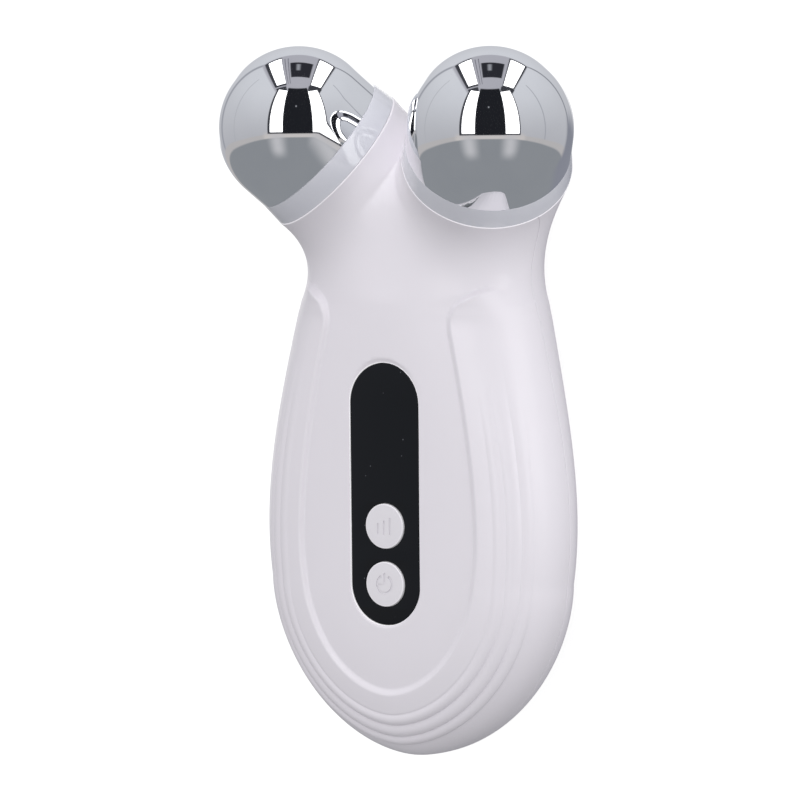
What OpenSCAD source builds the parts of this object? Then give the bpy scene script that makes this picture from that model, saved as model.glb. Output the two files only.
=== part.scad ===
// Facial toning device: a hand-held body with two branches that carry round electrodes.
// +X is the device's right, +Y points towards the electrodes, +Z is the face normal.
// The origin lies on the resting plane, below the middle of the device's box.

/* [Handle] */
// Distance from the middle of the device to the centre of the rounded tail
tail_y = 37.6; // [34:0.1:41]
// Reach of the tail beyond its centre
tail_reach = 37.4; // [34:0.1:41]
// Squareness of the tail's outline, where 2 is an ellipse
tail_square = 1.8; // [1.7:0.05:2.2]
// Half width of the handle at the centre of the tail
tail_half_w = 36.1; // [33:0.1:39]
// Half width that the outline steers to above the tail
belly_half_w = 39; // [36:0.1:42]
// Half width that the outline steers to below the neck
waist_half_w = 33.6; // [31:0.1:36]
// Half width where the handle meets the neck
neck_half_w = 29.5; // [28:0.1:31.5]
// Distance from the middle of the device to the start of the neck
neck_y = 20; // [18:0.5:22]

/* [Depths] */
// Height of the parting plane above the resting plane
part_z = 17.6; // [17.2:0.1:18]
// Depth of the front half at the display
front_depth = 14.4; // [14:0.1:14.8]
// Depth of the front half at the start of the neck
neck_front_depth = 14.2; // [13.4:0.1:14.6]
// Depth of the rear half at the centre of the tail
tail_rear_depth = 16; // [15:0.1:16.6]
// Depth of the rear half below the hand
palm_rear_depth = 18; // [17.4:0.1:18.8]
// Depth of the rear half towards the neck
back_rear_depth = 18.5; // [18:0.1:19.4]
// Depth of the rear half at the start of the neck
neck_rear_depth = 18.5; // [17.6:0.1:19]
// Squareness of the front sections, where 2 is an ellipse
front_square = 2.6; // [2.2:0.05:2.8]
// Squareness of the front section at the tail's tip
tip_square = 3; // [2.6:0.05:3.4]
// Squareness of the front section at the start of the neck
neck_square = 1.9; // [1.8:0.05:2.2]
// Squareness of the rear sections, where 2 is an ellipse
rear_square = 2.1; // [2:0.05:2.4]
// Squareness of the rear section at the tail's tip
tip_rear_square = 2.5; // [2.1:0.05:2.7]
// Wall thickness of both shells
wall = 2.2; // [1.8:0.1:2.6]

/* [Grip pad] */
// Height of the grip pad over the face
pad_h = 0.9; // [0.5:0.05:1.2]
// Section angle of the pad's inner edge along the handle
pad_angle = 31; // [29:0.5:33]
// Radius of the pad's corner beside the neck
pad_corner_r = 7; // [5:0.5:9]
// Distance from the middle of the device to the pad's top edge
pad_top_y = 25; // [23:0.5:27]
// Section angle of the first terrace
terrace_angle = 43.5; // [42:0.5:45]
// Section angle between two terraces
terrace_pitch = 8.2; // [7.5:0.1:8.5]
// Height of the bulge between two terraces
terrace_bulge = 0.26; // [0.1:0.02:0.4]

/* [Branches] */
// Distance from the mid plane to the centre of an electrode
electrode_x = 24.1; // [23:0.1:25.5]
// Distance from the middle of the device to the centres of the electrodes
electrode_y = 57.7; // [56:0.1:60]
// Height of the electrode centres above the parting plane
electrode_rise = 9.4; // [8:0.1:10]
// Angle of a branch towards the front, out of the face plane
branch_lift = 36.3; // [34:0.1:38]
// Angle of a branch in the face plane, from the X axis
branch_turn = 54.4; // [52:0.1:56]
// Outer radius of a branch at its lip
lip_r = 17.9; // [17.5:0.1:18.3]
// Length over which the neck leaves the handle straight
neck_lead = 14; // [12:0.1:16]
// Length over which a branch reaches its lip straight
branch_lead = 12.8; // [11:0.1:14]
// Angle that the parting line turns towards the front at the lip
lip_part_turn = 7; // [0:0.5:10]

/* [Electrodes] */
// Outer radius of an electrode
electrode_r = 17.3; // [16.9:0.1:17.5]
// Length of an electrode's straight skirt
skirt_h = 5.6; // [4.5:0.1:6.5]
// Wall thickness of an electrode
electrode_wall = 1.2; // [0.8:0.1:1.6]
// Height of the clear collar between an electrode and its branch
collar_h = 4.9; // [4:0.1:6]
// Thickness of the plug that closes a branch
plug_t = 3; // [2.5:0.1:3.5]
// Thickness of the silicone seal above that plug
seal_t = 0.8; // [0.5:0.1:1.2]
// Radius of an electrode's threaded boss
boss_r = 3.4; // [3:0.1:4]

/* [Display and buttons] */
// Width of the display window
window_w = 17.2; // [16:0.1:18.5]
// Distance from the middle of the device to the window's upper arc centre
window_top_y = 0.2; // [-2:0.1:2]
// Thickness of the display window
window_t = 1.6; // [1.2:0.1:2]
// Width of the ledge that the window is taped to
ledge_w = 1.2; // [1:0.1:1.5]
// Thickness of the window's adhesive ring
tape_t = 0.3; // [0.2:0.05:0.4]
// Radius of a button
button_r = 4.7; // [4.4:0.1:5]
// Distance between the two buttons
button_pitch = 12.2; // [11.5:0.1:14]
// Height of a button over the window
button_proud = 0.9; // [0.6:0.1:1.2]
// Travel of a button
button_travel = 0.4; // [0.2:0.05:0.5]
// Width of the flange that keeps a button behind the window
button_flange_w = 0.9; // [0.7:0.1:1.1]

/* [Electronics] */
// Width of the main board
board_w = 35; // [33:0.5:37]
// Distance from the middle of the device to the board's top edge
board_top_y = 12; // [10:0.5:14]
// Distance from the middle of the device to the board's bottom edge
board_low_y = 60; // [57:0.5:61]
// Thickness of the boards
board_t = 1.2; // [1:0.1:1.6]
// Side of a push switch
switch_w = 6; // [5.5:0.1:6.5]
// Height of a push switch's body
switch_h = 3.5; // [3:0.1:4]
// Height of a switch plunger over that body
plunger_h = 1.4; // [1.2:0.1:1.6]
// Width of the battery cell
cell_w = 30; // [28:0.5:32]
// Length of the battery cell
cell_l = 48; // [44:0.5:50]
// Thickness of the battery cell
cell_t = 8; // [7:0.1:9]
// Thickness of the foam pad under the cell
foam_t = 1; // [0.8:0.1:1.4]
// Width of the charging socket
socket_w = 8.9; // [8.7:0.1:9.1]
// Height of the charging socket
socket_h = 3.2; // [3.1:0.1:3.3]
// Length of the charging socket
socket_l = 7.4; // [7:0.1:8]

/* [Fastening] */
// Radius of a case screw's shank
case_screw_r = 1.25; // [1.1:0.05:1.4]
// Length of a case screw's shank
case_screw_l = 13; // [11:0.5:14]
// Radius of a board screw's shank
board_screw_r = 1; // [0.9:0.05:1.1]
// Distance of the case screws from the mid plane
case_screw_x = 23; // [22:0.5:24]
// Clearance between pieces that slide or drop into each other
clearance = 0.1; // [0.08:0.01:0.1]

/* [Hidden] */
$fn = 48;
// Squareness of a circle, and of the sections that a branch passes through
circle_square = 2;
neck_mid_square = 2.15;
branch_front_square = 2.35;
neck_rear_square = 2.25;
neck_mid_rear_square = 2.3;
branch_rear_square = 1.5;
// Half widths and depths that the neck steers to on its way to the lip
shoulder_half_w = 25.2;
branch_half_w = 16.4;
shoulder_front = 14.4;
branch_front = 16.1;
shoulder_rear = 17.5;
branch_rear = 17.6;
spine_drop = 0.3;

// Grid of the outer skin
tail_rows = 17;
grip_rows = 16;
neck_rows = 16;
lip_rows = 4;
rear_cols = 11;
// Grid of the cavity
cavity_share = 0.5;
cavity_cols = 7;
cavity_over = 1;
crease_w = 1.4;
pad_edge_w = 1.3;
fade_start = -20;
fade_len = 25;
degree_l = 0.5;
terraces = 4;
// Search for the skin's innermost angle, and how close to the mid plane counts as touching
inner_from = 30;
inner_step = 1.5;
touch = 0.001;

face_z = part_z + front_depth;
branch_dir = [cos(branch_lift)*cos(branch_turn), cos(branch_lift)*sin(branch_turn), sin(branch_lift)];
electrode_c = [electrode_x, electrode_y, part_z + electrode_rise];
lip_drop = skirt_h + collar_h;
lip_c = electrode_c - lip_drop*branch_dir;
// The neck's section planes fan out about the line in which its first and last plane cross.
hinge_dir = cross([0, 1, 0], branch_dir);
hinge_c = [lip_c[0], neck_y, lip_c[2] + branch_dir[1]*(lip_c[1] - neck_y)/branch_dir[2]];
spine = [[0, neck_y, part_z], [0, neck_y + neck_lead, part_z - spine_drop],
    lip_c - branch_lead*branch_dir, lip_c];

// ---- outline and sections of the body ----

function bezier(p, t) = let(u = 1 - t) u*u*u*p[0] + 3*u*u*t*p[1] + 3*u*t*t*p[2] + t*t*t*p[3];
function ease(t) = let(c = min(1, max(0, t))) c*c*(3 - 2*c);
function unit(v) = v/norm(v);
function mix(a, b, t) = a + (b - a)*t;

// A station runs 0..1 round the tail, 1..2 up the handle and 2..3 through neck and branch.
function is_tail(g) = g < 1;
function is_grip(g) = g <= 2;
function tail_turn(g) = 90*g - 90;

// Centre, outward axis and front axis of a station's section
function station_axes(g) =
    is_tail(g) ? [[0, -tail_y, part_z], [cos(tail_turn(g)), sin(tail_turn(g)), 0], [0, 0, 1]]
    : is_grip(g) ? [[0, mix(-tail_y, neck_y, g - 1), part_z], [1, 0, 0], [0, 0, 1]]
    : let(
        t = g - 2,
        c = bezier(spine, t),
        along = unit(cross(hinge_dir, c - hinge_c)),
        out = unit(cross(along, [0, 0, 1]))
    ) [c, out, cross(out, along)];

// Half width, front depth, rear depth, and squareness of front and rear at a station
function station_shape(g) =
    is_tail(g) ? let(
        c = cos(tail_turn(g)),
        s = -sin(tail_turn(g)),
        reach = pow(c/tail_half_w, tail_square) + pow(s/tail_reach, tail_square)
    ) [pow(reach, -1/tail_square), front_depth, tail_rear_depth,
        mix(front_square, tip_square, s*s), mix(rear_square, tip_rear_square, s*s)]
    : is_grip(g) ? let(t = g - 1)
        [bezier([tail_half_w, belly_half_w, waist_half_w, neck_half_w], t),
        bezier([front_depth, front_depth, front_depth, neck_front_depth], t),
        bezier([tail_rear_depth, palm_rear_depth, back_rear_depth, neck_rear_depth], t),
        mix(front_square, neck_square, t*t), mix(rear_square, neck_rear_square, t*t)]
    : let(t = g - 2)
        [bezier([neck_half_w, shoulder_half_w, branch_half_w, lip_r], t),
        bezier([neck_front_depth, shoulder_front, branch_front, lip_r], t),
        bezier([neck_rear_depth, shoulder_rear, branch_rear, lip_r], t),
        bezier([neck_square, neck_mid_square, branch_front_square, circle_square], t),
        bezier([neck_rear_square, neck_mid_rear_square, branch_rear_square, circle_square], t)];

function stretched(v, e) = sign(v)*pow(abs(v), e);

// Point and outward normal of a section at an angle, 0 at the front and 90 at the side
function section_point(s, a) = let(front = cos(a) >= 0, n = front ? s[3] : s[4])
    [s[0]*stretched(sin(a), 2/n), (front ? s[1] : s[2])*stretched(cos(a), 2/n)];
function section_normal(s, a) = let(front = cos(a) >= 0, n = front ? s[3] : s[4])
    unit([(front ? s[1] : s[2])*stretched(sin(a), 2 - 2/n), s[0]*stretched(cos(a), 2 - 2/n)]);

// ---- grip pad and terraces ----

// Distance inside the pad's outline, whose corner is round; degree_l is the length of one degree
function pad_inside(a, y) = let(
        d = degree_l*(a - pad_angle),
        e = pad_top_y - y
    ) max(d, e) < pad_corner_r ? pad_corner_r - norm([pad_corner_r - d, pad_corner_r - e]) : min(d, e);
function terrace_fade(y) = 1 - ease((y - fade_start)/fade_len);
function terrace_profile(a) = let(k = (a - terrace_angle)/terrace_pitch, f = k - floor(k))
    k < 0 ? pad_h
    : k >= terraces - 1 ? 0
    : pad_h*(1 - (floor(k) + 1)/terraces) + 4*terrace_bulge*f*(1 - f);
function plain_profile(a) = pad_h*(1 - ease((a - terrace_angle)/(terraces*terrace_pitch)));
function relief(a, y) = ease(pad_inside(a, y)/pad_edge_w + 0.5)
    *mix(plain_profile(a), terrace_profile(a), terrace_fade(y));

// ---- skin of one half, from the mid plane round to the mid plane ----

function skin(g, a, off) = let(
        f = station_axes(g),
        s = station_shape(g),
        p = section_point(s, a),
        raised = off == 0 && a > 0 && a < 90 ? relief(a, f[0][1] + p[0]*f[1][1]) : 0,
        q = p + (off + raised)*section_normal(s, a)
    ) f[0] + q[0]*f[1] + q[1]*f[2];

// Angle, within 90 degrees inside of the front, that lies closest to the mid plane
function innermost(g, off) = let(
        turns = [for (i = [inner_from:inner_step:90]) i],
        xs = [for (i = turns) skin(g, -i, off)[0]]
    ) turns[search(min(xs), xs)[0]];
// Angle from start, towards the mid plane, at which the skin meets it
function meets(g, start, way, off, hi, lo = 0, n = 18) =
    n == 0 ? (lo + hi)/2
    : let(mid = (lo + hi)/2)
        skin(g, start + way*mid, off)[0] > 0 ? meets(g, start, way, off, hi, mid, n - 1)
        : meets(g, start, way, off, mid, lo, n - 1);
// How far the skin reaches inwards past the front (way -1) or past the rear (way 1)
function inner_turn(g, way, off) = let(
        start = way < 0 ? 0 : 180,
        turn = is_grip(g) ? 0 : innermost(g, off),
        limit = way < 0 ? turn : 180 - turn
    ) is_grip(g) ? 0
    : skin(g, -turn, off)[0] > -touch ? limit : meets(g, start, way, off, limit);
// Station at which the two branches part
function crotch(off, lo = 2, hi = 3, n = 24) =
    n == 0 ? hi
    : let(mid = (lo + hi)/2)
        skin(mid, -innermost(mid, off), off)[0] < 0 ? crotch(off, mid, hi, n - 1)
        : crotch(off, lo, mid, n - 1);

function stations(off, share) = let(
        parting = crotch(off),
        nt = ceil(tail_rows*share),
        ng = ceil(grip_rows*share),
        nn = ceil(neck_rows*share),
        nl = lip_rows
    ) [for (i = [0:nt - 1]) i/nt, for (i = [0:ng - 1]) 1 + i/ng,
        for (i = [0:nn - 1]) 2 + (parting - 2)*sin(90*i/nn), for (i = [0:nl]) mix(parting, 3, i/nl)];
function crotch_row(share) = ceil(tail_rows*share) + ceil(grip_rows*share) + ceil(neck_rows*share);

// Section angle of the parting line
function part_angle(g) = is_grip(g) ? 90 : 90 - lip_part_turn*(g - 2)*(g - 2);

// Angles of the front's columns on the handle, aligned with the pad's edge and the terraces
pad_edge_turn = pad_edge_w/degree_l/2;
last_terrace = terrace_angle + (terraces - 1)*terrace_pitch + crease_w/2;
front_turns = concat(
    even_angles(0, pad_angle - pad_edge_turn, 3),
    [pad_angle + pad_edge_turn, (pad_angle + terrace_angle)/2],
    [for (k = [0:terraces - 2], j = [-crease_w/2, crease_w/2, terrace_pitch/2])
        terrace_angle + k*terrace_pitch + j],
    [last_terrace - crease_w],
    even_angles(last_terrace, 90, 3));
function front_angles(g) = let(turn = inner_turn(g, -1, 0))
    [for (a = front_turns) mix(-turn, part_angle(g), a/90)];
function even_angles(first, last, n) = [for (i = [0:n]) mix(first, last, i/n)];
function rear_angles(g, off, n) =
    even_angles(part_angle(g), 180 + inner_turn(g, 1, off), n);

// Points that lie on the mid plane get exactly x = 0, so both halves share them.
function tidy(p) = abs(p[0]) < 0.01 ? [0, p[1], p[2]] : p;
function mirrored(p) = [-p[0], p[1], p[2]];

function skin_row(g, angles, off) = [for (a = angles) tidy(skin(g, a, off))];

// ---- closed solids from rows of skin points ----

function strip(a, b, c, d, flip) = flip ? [[a, b, c], [b, d, c]] : [[a, c, b], [b, c, d]];
function sheet_faces(rows, cols, base, flip) =
    [for (r = [0:rows - 2], c = [0:cols - 2])
        for (f = strip(base + r*cols + c, base + r*cols + c + 1,
            base + (r + 1)*cols + c, base + (r + 1)*cols + c + 1, flip)) f];

// A block between the skin columns of both halves and a ruled sheet that joins their ends
module skin_block(rows, open_row, front) {
    n = len(rows);
    m = len(rows[0]);
    half = n*m;
    last = front ? m - 1 : 0;
    mid = front ? 0 : m - 1;
    points = concat([for (r = rows, p = r) p], [for (r = rows, p = r) mirrored(p)]);
    joined = [for (r = [0:open_row - 1])
        for (f = strip(r*m + last, half + r*m + last, (r + 1)*m + last, half + (r + 1)*m + last, !front)) f];
    split = [for (r = [open_row:n - 2], side = [0, 1])
        for (f = strip(side*half + r*m + last, side*half + r*m + mid,
            side*half + (r + 1)*m + last, side*half + (r + 1)*m + mid, (side == 0) != front)) f];
    caps = [for (side = [0, 1])
        let(ring = [for (c = [0:m - 1]) side*half + (n - 1)*m + c])
            side == 0 ? [for (i = [m - 1:-1:0]) ring[i]] : ring];
    fork = [[open_row*m + last, open_row*m + mid, half + open_row*m + last]];
    polyhedron(points, concat(sheet_faces(n, m, 0, false), sheet_faces(n, m, half, true),
        joined, split, caps, front ? fork : [[fork[0][2], fork[0][1], fork[0][0]]]), convexity = 8);
}

module front_block() {
    list = stations(0, 1);
    rows = [for (g = list) skin_row(g, front_angles(g), 0)];
    skin_block(rows, crotch_row(1), true);
}

module rear_block() {
    list = stations(0, 1);
    rows = [for (g = list) skin_row(g, rear_angles(g, 0, rear_cols), 0)];
    skin_block(rows, crotch_row(1), false);
}

// The whole body's inside: a closed solid one wall thinner than the skin, open through the lips
module cavity() {
    rows = [for (g = stations(-wall, cavity_share)) skin_row(g, concat(
        even_angles(-inner_turn(g, -1, -wall), part_angle(g), cavity_cols),
        [for (a = rear_angles(g, -wall, cavity_cols)) if (a > part_angle(g)) a]), -wall)];
    end = [for (p = rows[len(rows) - 1]) p + cavity_over*branch_dir];
    closed_skin(concat(rows, [end]), crotch_row(cavity_share));
}

// A closed solid whose rows run right round both halves
module closed_skin(rows, open_row) {
    n = len(rows);
    m = len(rows[0]);
    half = n*m;
    points = concat([for (r = rows, p = r) p], [for (r = rows, p = r) mirrored(p)]);
    caps = [for (side = [0, 1])
        let(ring = [for (c = [0:m - 2]) side*half + (n - 1)*m + c])
            side == 0 ? [for (i = [m - 2:-1:0]) ring[i]] : ring];
    polyhedron(points, concat(sheet_faces(n, m, 0, false), sheet_faces(n, m, half, true), caps),
        convexity = 10);
}

// ---- placing on a branch: the electrode's centre is the origin and the branch runs along +Z ----

module on_branch(side) {
    mirror([side < 0 ? 1 : 0, 0, 0]) translate(electrode_c) rotate([0, 90 - branch_lift, branch_turn])
        children();
}
module in_mirror(side) mirror([side < 0 ? 1 : 0, 0, 0]) children();

// ---- levels and clearances inside ----

window_gap = 0.4;
window_z = face_z - window_gap;
window_low = window_z - window_t;
tape_low = window_low - tape_t;
window_r = window_w/2;
opening_r = window_r - ledge_w;
window_len = tail_y + window_top_y;
frame_t = 1.5;
flange_t = 1;
stem_r = 1.6;
plunger_r = 1.75;
plunger_in = 1;
board_drop = 6.6;
board_z = window_low - board_drop;
board_low = board_z - board_t;
switch_z = board_z + switch_h;
flange_z = window_low - clearance;
display_l = 19;
display_w = 12.6;
display_y = -tail_y + window_len - display_l/2 + 1;
board_corner = 6;
post_r = 2.6;
post_x = 13.8;
post_top_y = board_top_y - 3.6;
post_low_y = 55.5;
board_head_r = 1.9;
board_head_h = 1.3;
board_grip = 4;
thread_gap = 0.05;
case_boss_r = 3.2;
case_head_r = 2.3;
case_head_h = 1.8;
case_seat_z = part_z - 7.5;
case_top_y = 7.5;
case_low_y = 48;
gusset_t = 1.2;
gusset_out = 3;
gusset_h = 5;
cradle_z = 4.8;
cradle_t = 1.4;
cell_z = cradle_z + foam_t;
cell_y = -20;
cell_edge = 1.5;
foam_inset = 2;
socket_z = part_z - socket_h/2;
socket_y = tail_y + tail_reach - 0.6;
socket_gap = 0.3;
charge_w = 14;
charge_l = 10.5;
charge_y = socket_y - 3.4;
charge_post_x = 4.6;
charge_post_y = charge_y - charge_l + 1.8;
charge_post_r = 2;
// The branch is not quite round below its lip, so what goes inside it keeps well clear
plug_gap = 2.2;
spigot_gap = 1.5;
plug_r = lip_r - wall - plug_gap;
spigot_r = lip_r - wall - spigot_gap;
spigot_h = 2;
collar_bore = 12;
register_h = 2;
screw_r = 1.5;
screw_head_r = 2.8;
screw_head_h = 2;
screw_l = 12;
lug_t = 0.5;
lug_r = 3;
lug_l = 6;
plug_top = -(lip_drop + spigot_h + seal_t);
plug_low = plug_top - plug_t;
lead_r = 0.7;
lead_sides = 8;
lead_rings = 16;
long = 200;

// ---- shells ----

// A small turn of the window's facets keeps their corners off the rows of the skin
facet_turn = 2;
module stadium(r, len, h) {
    hull() for (y = [0, len]) translate([0, y, 0]) rotate(facet_turn) cylinder(r = r, h = h);
}
module at_tail() translate([0, -tail_y, 0]) children();

module case_points() {
    for (x = [-case_screw_x, case_screw_x], y = [case_top_y, -case_low_y]) translate([x, y, 0]) children();
}
module post_points() {
    for (x = [-post_x, post_x], y = [post_top_y, -post_low_y]) translate([x, y, 0]) children();
}
module gusseted_boss(r, h) {
    cylinder(r = r, h = h);
    for (a = [0, 90]) hull() {
        rotate(a) translate([-gusset_t/2, -r - gusset_out, h - gusset_h])
            cube([gusset_t, 2*(r + gusset_out), gusset_h]);
        rotate(a) translate([-gusset_t/2, -r, gusset_h/2]) cube([gusset_t, 2*r, 1]);
    }
}
module socket_tunnel() {
    translate([0, -socket_y + socket_gap - long/2, part_z]) rotate([-90, 0, 0]) linear_extrude(long/2 + wall + 1)
        hull() for (x = [-1, 1]) translate([x*(socket_w - socket_h)/2, 0]) circle(socket_h/2 + clearance);
}

module front_shell() color("ghostwhite") {
    difference() {
        union() {
            difference() {
                front_block();
                cavity();
            }
            intersection() {
                front_block();
                union() {
                    translate([0, 0, tape_low - frame_t]) at_tail()
                        stadium(window_r + wall, window_len, long);
                    case_points() translate([0, 0, part_z]) gusseted_boss(case_boss_r, front_depth);
                    post_points() translate([0, 0, board_z]) cylinder(r = post_r, h = long);
                }
            }
        }
        translate([0, 0, tape_low]) at_tail() stadium(window_r + clearance, window_len, long);
        at_tail() stadium(opening_r, window_len, long);
        case_points() cylinder(r = case_screw_r + thread_gap, h = case_seat_z + case_screw_l + 1);
        post_points() cylinder(r = board_screw_r + thread_gap, h = board_z + board_grip + 1);
        socket_tunnel();
    }
}

module rear_shell() color("ghostwhite") {
    difference() {
        union() {
            difference() {
                rear_block();
                cavity();
            }
            intersection() {
                rear_block();
                union() {
                    case_points() translate([0, 0, part_z]) mirror([0, 0, 1])
                        gusseted_boss(case_boss_r, part_z);
                    for (k = [-1.5:1:1.5]) translate([-cell_w/2, cell_y + k*cell_l/4 - cradle_t/2, 0])
                        cube([cell_w, cradle_t, cradle_z]);
                    for (x = [-charge_post_x, charge_post_x]) translate([x, -charge_post_y, 0])
                        cylinder(r = charge_post_r, h = socket_z - board_t);
                }
            }
        }
        case_points() {
            cylinder(r = case_screw_r + clearance, h = long);
            translate([0, 0, case_seat_z - long]) cylinder(r = case_head_r + clearance, h = long);
        }
        for (x = [-charge_post_x, charge_post_x])
            translate([x, -charge_post_y, socket_z - board_t - board_grip - 1])
                cylinder(r = board_screw_r + thread_gap, h = long);
        socket_tunnel();
        translate([-long/2, -long/2, -long]) cube([long, long, long]);
    }
}

// ---- display and buttons ----

module display_window() color("#1c1c20") {
    difference() {
        translate([0, 0, window_low]) at_tail() slot_plate(window_r, window_len, window_t);
        for (k = [0, 1]) translate([0, -tail_y + k*button_pitch, window_low - 1])
            cylinder(r = button_r + clearance, h = window_t + 2);
    }
}
// A plate with round ends, kept exact
module slot_plate(r, len, h) {
    cylinder(r = r, h = h);
    translate([0, len, 0]) cylinder(r = r, h = h);
    translate([-r, 0, 0]) cube([2*r, len, h]);
}
module window_tape() color("dimgray") {
    translate([0, 0, tape_low]) at_tail() difference() {
        slot_plate(window_r, window_len, tape_t);
        translate([0, 0, -1]) slot_plate(opening_r, window_len, tape_t + 2);
    }
}

button_round = 0.5;
mark_depth = 0.2;
mark_w = 0.45;
mark_r = 1.5;
module button_cap() {
    flange_low = flange_z - flange_t;
    top = window_z + button_proud;
    rotate_extrude() difference() {
        polygon(concat(
            [[0, switch_z + plunger_h], [stem_r, switch_z + plunger_h], [stem_r, flange_low],
                [button_r + button_flange_w, flange_low], [button_r + button_flange_w, flange_z],
                [button_r, flange_z]],
            [for (a = [0:15:90]) [button_r - button_round*(1 - cos(a)), top - button_round*(1 - sin(a))]],
            [[0, top]]));
    }
}
module mode_button() color("ghostwhite") {
    translate([0, -tail_y + button_pitch, 0]) difference() {
        button_cap();
        // Three rising bars
        for (k = [-1:1]) translate([k*2*mark_w - mark_w/2, -mark_r, window_z + button_proud - mark_depth])
            cube([mark_w, mark_r*(4 + k)/3 + mark_w, mark_depth + 1]);
    }
}
module power_button() color("ghostwhite") {
    at_tail() difference() {
        button_cap();
        translate([0, 0, window_z + button_proud - mark_depth]) {
            rotate(120) rotate_extrude(angle = 300) translate([mark_r - mark_w/2, 0]) square([mark_w, 1]);
            translate([-mark_w/2, mark_r/3, 0]) cube([mark_w, mark_r, 1]);
        }
    }
}
module plunger() color("black") {
    translate([0, 0, switch_z - plunger_in]) cylinder(r = plunger_r, h = plunger_in + plunger_h);
}
module mode_plunger() translate([0, -tail_y + button_pitch, 0]) plunger();
module power_plunger() at_tail() plunger();

module push_switch() color("silver") {
    depth = plunger_in + button_travel + clearance;
    difference() {
        translate([-switch_w/2, -switch_w/2, board_z]) cube([switch_w, switch_w, switch_h]);
        translate([0, 0, switch_z - depth]) cylinder(r = plunger_r + clearance/2, h = depth + 1);
    }
}
module mode_switch() translate([0, -tail_y + button_pitch, 0]) push_switch();
module power_switch() at_tail() push_switch();

// ---- boards and what they carry ----

module main_board() color("darkgreen") {
    translate([0, 0, board_low]) linear_extrude(board_t) difference() {
        board_outline();
        for (x = [-post_x, post_x], y = [post_top_y, -post_low_y])
            translate([x, y]) circle(board_screw_r + clearance);
    }
}
// A rectangle with round corners, kept exact
module board_outline() {
    w = board_w/2 - board_corner;
    for (x = [-w, w], y = [board_top_y - board_corner, -board_low_y + board_corner])
        translate([x, y]) circle(board_corner);
    translate([-board_w/2, -board_low_y + board_corner])
        square([board_w, board_low_y + board_top_y - 2*board_corner]);
    translate([-w, -board_low_y]) square([2*w, board_low_y + board_top_y]);
}
module display_module() color("darkslategray") {
    translate([-display_w/2, display_y - display_l/2, board_z])
        cube([display_w, display_l, board_drop - clearance]);
}
chip_w = 7;
chip_h = 1;
coil_w = 6;
coil_h = 3.6;
module control_chip() color("black") {
    translate([-chip_w/2, -chip_w, board_low - chip_h]) cube([chip_w, chip_w, chip_h]);
}
module step_up_coil() color("#404040") {
    translate([-coil_w*1.5, -2*coil_w - chip_w, board_low - coil_h]) cube([coil_w, coil_w, coil_h]);
}

module charging_board() color("darkgreen") {
    difference() {
        translate([-charge_w/2, -charge_y, socket_z - board_t]) cube([charge_w, charge_l, board_t]);
        for (x = [-charge_post_x, charge_post_x]) translate([x, -charge_post_y, 0])
            cylinder(r = board_screw_r + clearance, h = long);
    }
}
socket_wall = 0.4;
module charging_socket() color("silver") {
    translate([0, -socket_y, part_z]) rotate([-90, 0, 0]) difference() {
        linear_extrude(socket_l) obround(socket_h/2);
        translate([0, 0, -1]) linear_extrude(socket_l) obround(socket_h/2 - socket_wall);
    }
    translate([-tongue_w/2, -socket_y + 1, part_z - tongue_t/2]) cube([tongue_w, socket_l - 1, tongue_t]);
}
tongue_w = 6.6;
tongue_t = 0.7;
module obround(r) {
    for (x = [-1, 1]) translate([x*(socket_w - socket_h)/2, 0]) circle(r);
    square([socket_w - socket_h, 2*r], center = true);
}
ribbon_w = 6;
ribbon_t = 0.4;
ribbon_share = 0.6;
ribbon_steps = 12;
// Flat cable from the charging board up to the main board
module charging_ribbon() color("white") {
    low = [-charge_y + charge_l - 1, socket_z + ribbon_t/2];
    high = [-board_low_y + board_corner, board_low - ribbon_t/2];
    out = [ribbon_share*(high[0] - low[0]), 0];
    path = [low, low + out, high - out, high];
    mids = [for (i = [0:ribbon_steps]) bezier(path, i/ribbon_steps)];
    translate([-ribbon_w/2, 0, 0]) rotate([90, 0, 90]) linear_extrude(ribbon_w)
        polygon(concat([for (p = mids) p + [0, ribbon_t/2]],
            [for (i = [ribbon_steps:-1:0]) mids[i] - [0, ribbon_t/2]]));
}

// ---- battery ----

module battery_cell() color("silver") {
    translate([-cell_w/2, cell_y - cell_l/2, cell_z]) rounded_slab(cell_w, cell_l, cell_t, cell_edge);
}
module rounded_slab(w, l, h, r) {
    for (x = [r, w - r], y = [r, l - r]) translate([x, y, 0]) cylinder(r = r, h = h);
    translate([0, r, 0]) cube([w, l - 2*r, h]);
    translate([r, 0, 0]) cube([w - 2*r, l, h]);
}
module battery_foam() color("gray") {
    translate([foam_inset - cell_w/2, cell_y - cell_l/2 + foam_inset, cradle_z])
        cube([cell_w - 2*foam_inset, cell_l - 2*foam_inset, foam_t]);
}

// A round lead swept along a curve of four control points
module lead(path, r) {
    mids = [for (i = [0:lead_rings]) bezier(path, i/lead_rings)];
    dirs = [for (i = [0:lead_rings]) unit(i == 0 ? path[1] - path[0]
        : i == lead_rings ? path[3] - path[2] : mids[i + 1] - mids[i - 1])];
    side = unit(cross(dirs[0], [0.3, 0.9, 0.4]));
    sides = [for (d = dirs) unit(side - (side*d)*d)];
    points = [for (i = [0:lead_rings], k = [0:lead_sides - 1]) let(a = 360*k/lead_sides)
        mids[i] + r*(cos(a)*sides[i] + sin(a)*cross(dirs[i], sides[i]))];
    n = lead_sides;
    polyhedron(points, concat(
        [for (i = [0:lead_rings - 1], k = [0:n - 1]) [i*n + k, i*n + (k + 1)%n, (i + 1)*n + (k + 1)%n]],
        [for (i = [0:lead_rings - 1], k = [0:n - 1]) [i*n + k, (i + 1)*n + (k + 1)%n, (i + 1)*n + k]],
        [[for (k = [n - 1:-1:0]) k]], [[for (k = [0:n - 1]) lead_rings*n + k]]));
}
cell_lead_x = 4;
cell_lead_r = 0.6;
cell_lead_out = 6.5;
pad_inset = 2;
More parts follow.
